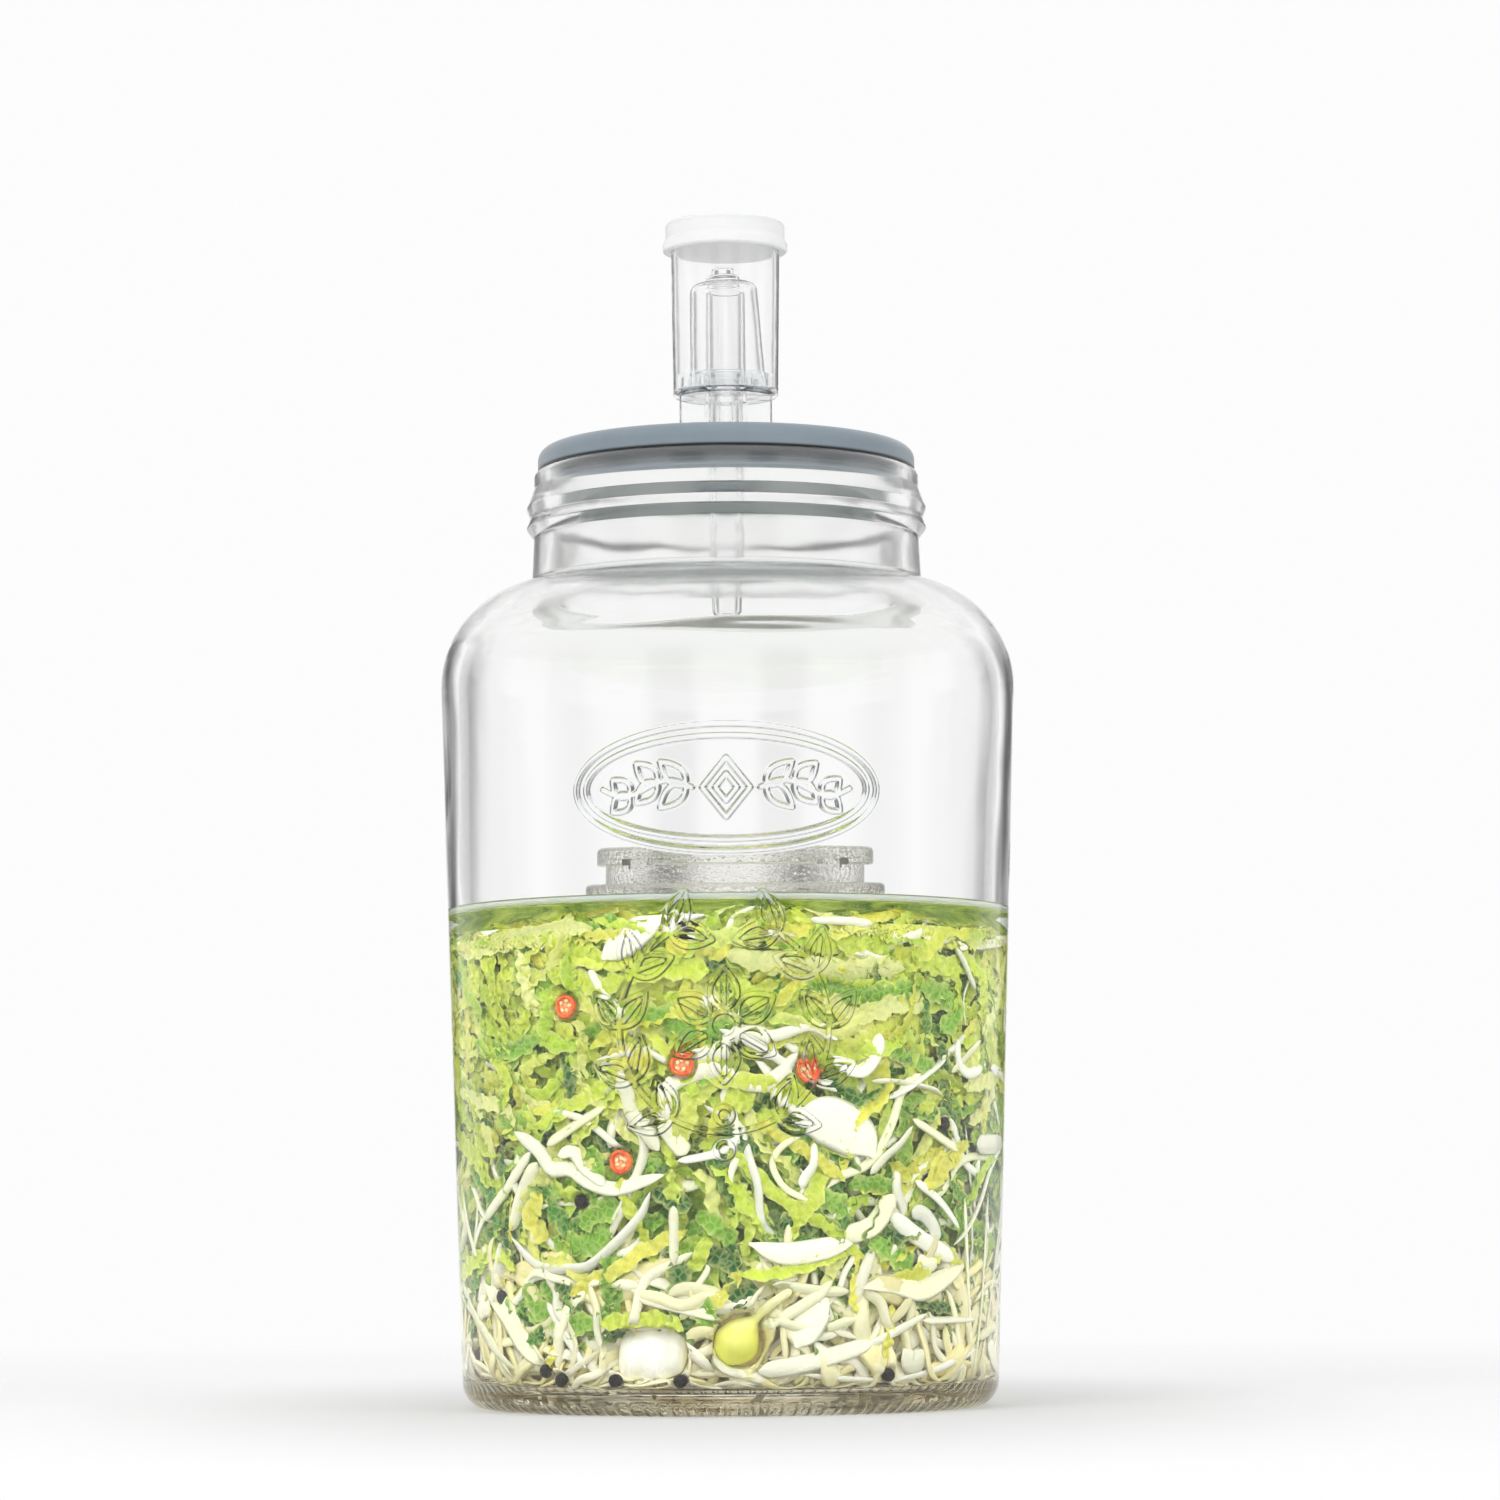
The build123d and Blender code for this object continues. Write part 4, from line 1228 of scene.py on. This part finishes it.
def make_fill():
    """Uneven body of packed shreds behind the ones that show."""
    low, high = PACK_FLOOR + 0.5, SEAT_HEIGHT - 5
    points = [(radius, low) for radius in (0, 20, 40, 55)]
    for height in np.linspace(low, BRINE_LEVEL - 7, 70):
        points.append((bore_radius(height) - PACK_DEPTH + 1 - 3 * max(0, (18 - height) / 9), height))
    points += [(radius, high) for radius in (60, 45, 25, 0)]

    def lumps(radius, height, angle):
        wave = np.sin(9 * angle + height / 3.1) * np.sin(height / 4.3 + 5 * angle)
        wave = wave + 0.7 * np.sin(23 * angle - height / 2)
        side = between(radius, 50, 65)
        return radius + 0.9 * wave * side, height + 0.6 * wave * (1 - side) * (height > 100)

    looks = [make_material("pack_inside", packed_inside)]
    obj = turned("cabbage_inside", np.array(points), even_angles(160), looks, lumps)
    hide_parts("cabbage_green", "cabbage_pale")
    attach(obj, "jar")


# Bulb, core and chillies


def tube(name, line, wide, deep, material):
    """Closed form round a line of points, with its half width and half depth at each of them."""
    side, face = side_frame(line[None], np.zeros((1, len(line))))
    turn = even_angles(28)
    across, out = wide[None, :, None] * np.cos(turn), deep[None, :, None] * np.sin(turn)
    points = swept(line[None], side, face, across, out).reshape(-1, 3)
    return mesh_object(name, points, [grid_faces(len(line), len(turn), True)], [material])


def place_on_wall(obj, node, into):
    """Stands a flat-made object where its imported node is: its Y goes up and its Z out to the glass."""
    low, high = (Vector(corner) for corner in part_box(node))
    middle = (low + high) / 2
    angle = np.arctan2(middle.x, -middle.y)
    out = Vector((sin(angle), -cos(angle), 0))
    across = Vector((cos(angle), sin(angle), 0))
    turn = Matrix((across, (0, 0, 1), out)).transposed().to_4x4()
    obj.data.transform(Matrix.Translation(middle + into * MM * out) @ turn)
    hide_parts(node)
    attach(obj, "jar")


def make_bulb():
    """Small onion that narrows into its own bent stalk."""
    share = np.linspace(0, 1, 44)
    bend = np.radians(20 + 40 * share)
    step = BULB_LENGTH / (len(share) - 1)
    path = np.stack([np.cumsum(np.sin(bend)), np.cumsum(np.cos(bend)), 0 * share], 1) * step
    path -= path[12]
    path[:, 2] = 5.5 * between(share, 0.42, 0.82) ** 1.5
    body = np.sin(pi * between(share, 0, 0.56) ** 0.85) ** 0.75
    stalk = between(share, 0, 0.1) * (1.9 - 0.7 * share) * between(share, 1, 0.97)
    radius = np.maximum(BULB_RADIUS * body * (1 - 0.25 * share), stalk)
    obj = tube("onion_dressed", path, radius, radius * 0.95, make_material("onion_skin", onion))
    place_on_wall(obj, "onion_bulb", 0.0)
    obj.data.transform(Matrix.Translation((-BULB_SHIFT * MM, 0, -BULB_SHIFT * MM)))


def make_core():
    """Rounded chunk of cabbage core, ribbed along its leaves."""
    share = np.linspace(-1, 1, 40)
    line = np.stack([10.0 * share, 0.5 * np.sin(2.2 * share), 0.4 * np.cos(3 * share)], 1)
    end = np.clip(1 - np.abs(share) ** 7, 0, 1) ** 0.5
    high = end * (7.6 - 0.7 * share + 0.5 * np.sin(5 * share + 1))
    obj = tube("core_dressed", line, high, end * 4.3, make_material("cabbage_core", core))
    place_on_wall(obj, "cabbage_core", 0.6)


def chilli_wall(rng, turn):
    """Thick skin of a chilli slice, slightly lobed."""
    section = even_angles(10)[None, :]
    lobes = 1 + 0.035 * np.sin(3 * turn[:, None] + rng.uniform(0, 6))
    ring = (CHILLI_RADIUS - CHILLI_SKIN / 2 + CHILLI_SKIN / 2 * np.cos(section)) * lobes
    points = [ring * np.cos(turn)[:, None], ring * np.sin(turn)[:, None], np.sin(section) + 0 * ring]
    faces = grid_faces(len(turn) + 1, 10, True) % ring.size
    return np.stack(points, -1), faces[:, [0, 3, 2, 1]]


def chilli_web(turn):
    """Thin middle of a chilli slice."""
    reach = np.linspace(0, CHILLI_RADIUS - CHILLI_SKIN * 0.8, 7)[:, None]
    height = 0.25 * np.cos(3 * turn)[None, :] * reach / CHILLI_RADIUS - 0.2
    points = [reach * np.cos(turn), reach * np.sin(turn), height + 0 * reach]
    return np.stack(points, -1), grid_faces(len(reach), len(turn), True)


def chilli_seed(rng, turn):
    """Flat seed in a chilli slice, on its own side of the middle."""
    turn += rng.uniform(0, 0.4)
    away = CHILLI_RADIUS * rng.uniform(0.3, 0.52)
    lean = rng.uniform(0, pi)
    down, round_it = np.linspace(0.05, pi - 0.05, 7)[:, None], even_angles(10)[None, :]
    x, y = 0.75 * np.sin(down) * np.cos(round_it), 0.55 * np.sin(down) * np.sin(round_it)
    z = 0.25 * np.cos(down) + 0 * round_it
    points = np.stack([x * cos(lean) - y * sin(lean), x * sin(lean) + y * cos(lean), z], -1)
    return points + (away * cos(turn), away * sin(turn), 0.25), grid_faces(*x.shape, True)


def make_chillies():
    """Slices across a small chilli: a thick skin, a paler middle and a few flat seeds."""
    rng = np.random.default_rng(RANDOM_SEED)
    looks = [
        make_material("chilli_skin", chilli, (0.75, 0.06, 0.015), (0.92, 0.22, 0.04), 500.0, 0.22, 0.0002),
        make_material("chilli_middle", chilli, (0.85, 0.20, 0.06), (0.95, 0.50, 0.20), 700.0, 0.4, 0.0003),
        make_material("chilli_seed", chilli, (0.90, 0.62, 0.28), (0.97, 0.85, 0.52), 900.0, 0.4, 0.0001),
    ]
    turn = even_angles(40)
    for node in sorted(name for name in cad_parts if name.startswith("chilli")):
        parts = [chilli_wall(rng, turn), chilli_web(turn)]
        parts += [chilli_seed(rng, at) for at in even_angles(CHILLI_SEEDS)]
        points, faces = joined(parts)
        slots = np.repeat([0, 1] + [2] * CHILLI_SEEDS, [len(part[1]) for part in parts])
        obj = mesh_object(node + "_dressed", points, [faces], looks, None, slots)
        place_on_wall(obj, node, 0.0)


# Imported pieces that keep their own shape


def dress_nodes():
    """Materials for the lid, the airlock, the weight and the peppercorns."""
    clear, beige, bluish = (0.999, 0.999, 0.999), (0.98, 0.965, 0.95), (0.97, 0.985, 0.99)
    airlock = glass("airlock_clear", clear, 1.40, 0.03, 0.00008, 120.0, stain_and_painted_shade=fin_stain, milk=0.03)
    weight = glass("weight_glass", beige, GLASS_IOR, 0.06, 0.0003, 90.0, weight_relief, weight_stain)
    looks = {
        "lid": make_material("lid_silicone", silicone),
        "airlock_body": airlock,
        "airlock_bell": airlock,
        "airlock_cap": make_material("airlock_milky", milky_plastic),
        "airlock_water": glass("airlock_water", bluish, WATER_IOR, wave=0.0001, wave_scale=200.0),
        "glass_weight": weight,
    }
    peppercorn = make_material("peppercorn", pepper)
    for name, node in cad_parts.items():
        look = peppercorn if name.startswith("peppercorn") else looks.get(name)
        if look is not None:
            for material_slot in node.material_slots:
                material_slot.material = look


# Light, floor and camera


def make_world():
    """White all round, with soft grey bands between the eight main directions that draw the glass's edges."""
    world = bpy.data.worlds.new("studio")
    bpy.context.scene.world = world
    world.use_nodes = True
    tree = world.node_tree
    tree.nodes.clear()
    way = add(tree, "SeparateXYZ", {0: add(tree, "TexCoord").outputs["Generated"]}).outputs
    eighth = maths(tree, "DIVIDE", maths(tree, "ARCTAN2", way["Y"], way["X"]), pi / 4)
    off = maths(tree, "ABSOLUTE", maths(tree, "SUBTRACT", eighth, maths(tree, "ROUND", eighth)))
    band = smooth_range(tree, off, 0.2, 0.38)
    depth = smooth_range(tree, maths(tree, "ABSOLUTE", way["Y"]), 0.75, 0.9, 0.45, 0.86)
    level = smooth_range(tree, maths(tree, "ABSOLUTE", way["Z"]), 0.15, 0.42, 1.0, 0.0)
    rising = smooth_range(tree, way["Z"], -0.03, 0.02)
    dark = times(tree, times(tree, band, depth), times(tree, level, rising))
    studio = times(tree, maths(tree, "SUBTRACT", 1.0, dark), STUDIO_WHITE)
    path = add(tree, "LightPath").outputs
    ambient = smooth_range(tree, way["Z"], -0.4, 1.0, 0.55, 0.85)
    ambient = maths(tree, "ADD", ambient, times(tree, path["Is Transmission Ray"], BEHIND_GLASS))
    bounced = maths(tree, "GREATER_THAN", path["Diffuse Depth"], 0.5)
    seen = add(tree, "Mix", {0: bounced, 2: studio, 3: ambient}).outputs[0]
    strength = add(tree, "Mix", {0: path["Is Camera Ray"], 2: seen, 3: STUDIO_WHITE}).outputs[0]
    background = add(tree, "Background", {"Color": (1, 1, 1, 1), "Strength": strength})
    add(tree, "OutputWorld", {"Surface": background.outputs[0]})
    world.cycles.sampling_method = "NONE"


def floor_shader(tree):
    """White floor that keeps the jar's shadow, with a painted soft shadow round the jar where its glow is
    dimmed, fades out far away, and is pale grey to bounced light.
    """
    place = place_on(tree)
    reach = add(tree, "VectorMath", {0: place}, operation="LENGTH").outputs["Value"]
    # Painted shadow: the glow is dimmed near the jar, over a patch longer front to back than side to side
    narrow = add(tree, "VectorMath", {0: place, 1: (1.9, 1, 1)}, operation="MULTIPLY").outputs["Vector"]
    painted_shadow_reach = add(tree, "VectorMath", {0: narrow}, operation="LENGTH").outputs["Value"]
    strength = smooth_range(tree, painted_shadow_reach, 0.12, 0.42, 0.31, 0.445)
    lit = add(tree, "BsdfDiffuse", {"Color": (0.5, 0.5, 0.505, 1)}).outputs[0]
    glow = add(tree, "Emission", {"Color": (1, 1, 1, 1), "Strength": strength}).outputs[0]
    seen = add(tree, "AddShader", {0: lit, 1: glow}).outputs[0]
    seen = mixed(tree, smooth_range(tree, reach, 0.35, 0.85), seen, see_through(tree))
    plain = add(tree, "BsdfDiffuse", {"Color": (0.82, 0.82, 0.82, 1)}).outputs[0]
    bounced = maths(tree, "GREATER_THAN", add(tree, "LightPath").outputs["Diffuse Depth"], 0.5)
    return mixed(tree, bounced, seen, plain)


def make_floor():
    radii, angles = np.array([0.1, 200.0, 500.0, 900.0]), even_angles(96)
    points = around(radii[:, None], angles[None, :], np.full((len(radii), 1), -0.1))
    faces = grid_faces(len(radii), len(angles), True)[:, ::-1]
    floor = mesh_object("floor", points.reshape(-1, 3), [faces], [make_material("floor", floor_shader)])


def make_lamp(name, place, size, power):
    lamp = bpy.data.lights.new(name, "AREA")
    lamp.shape = "DISK"
    lamp.size = size
    lamp.energy = power
    obj = new_object(name, lamp)
    obj.visible_glossy = False
    obj.visible_transmission = False
    obj.location = place
    obj.rotation_euler = (Vector((0, 0, 0.15)) - Vector(place)).to_track_quat("-Z", "Y").to_euler()


def make_camera():
    data = bpy.data.cameras.new("camera")
    data.lens = LENS
    data.sensor_width = SENSOR
    data.clip_start, data.clip_end = 0.05, 20
    camera = new_object("camera", data)
    aim = Matrix.Rotation(radians(-CAMERA_YAW), 4, "Z") @ Matrix.Rotation(radians(90 + CAMERA_PITCH), 4, "X")
    roll = Matrix.Rotation(radians(-CAMERA_ROLL), 4, "Z")
    camera.matrix_world = Matrix.Translation((0, -CAMERA_DISTANCE * MM, CAMERA_HEIGHT * MM)) @ aim @ roll
    bpy.context.scene.camera = camera


def set_up_render():
    scene = bpy.context.scene
    scene.view_settings.view_transform = "Standard"
    scene.cycles.max_bounces = 24
    scene.cycles.transmission_bounces = 24
    scene.cycles.glossy_bounces = 8
    scene.cycles.diffuse_bounces = 5
    scene.cycles.transparent_max_bounces = 48
    scene.cycles.caustics_reflective = False


make_camera()
set_up_render()
make_world()
make_floor()
make_lamp("key", (-1.1, -1.5, 1.5), 1.2, 17.0)
make_lamp("fill", (1.5, -1.2, 0.9), 1.2, 8.0)
make_jar()
make_brine()
make_fill()
make_shreds()
make_bulb()
make_core()
make_chillies()
dress_nodes()
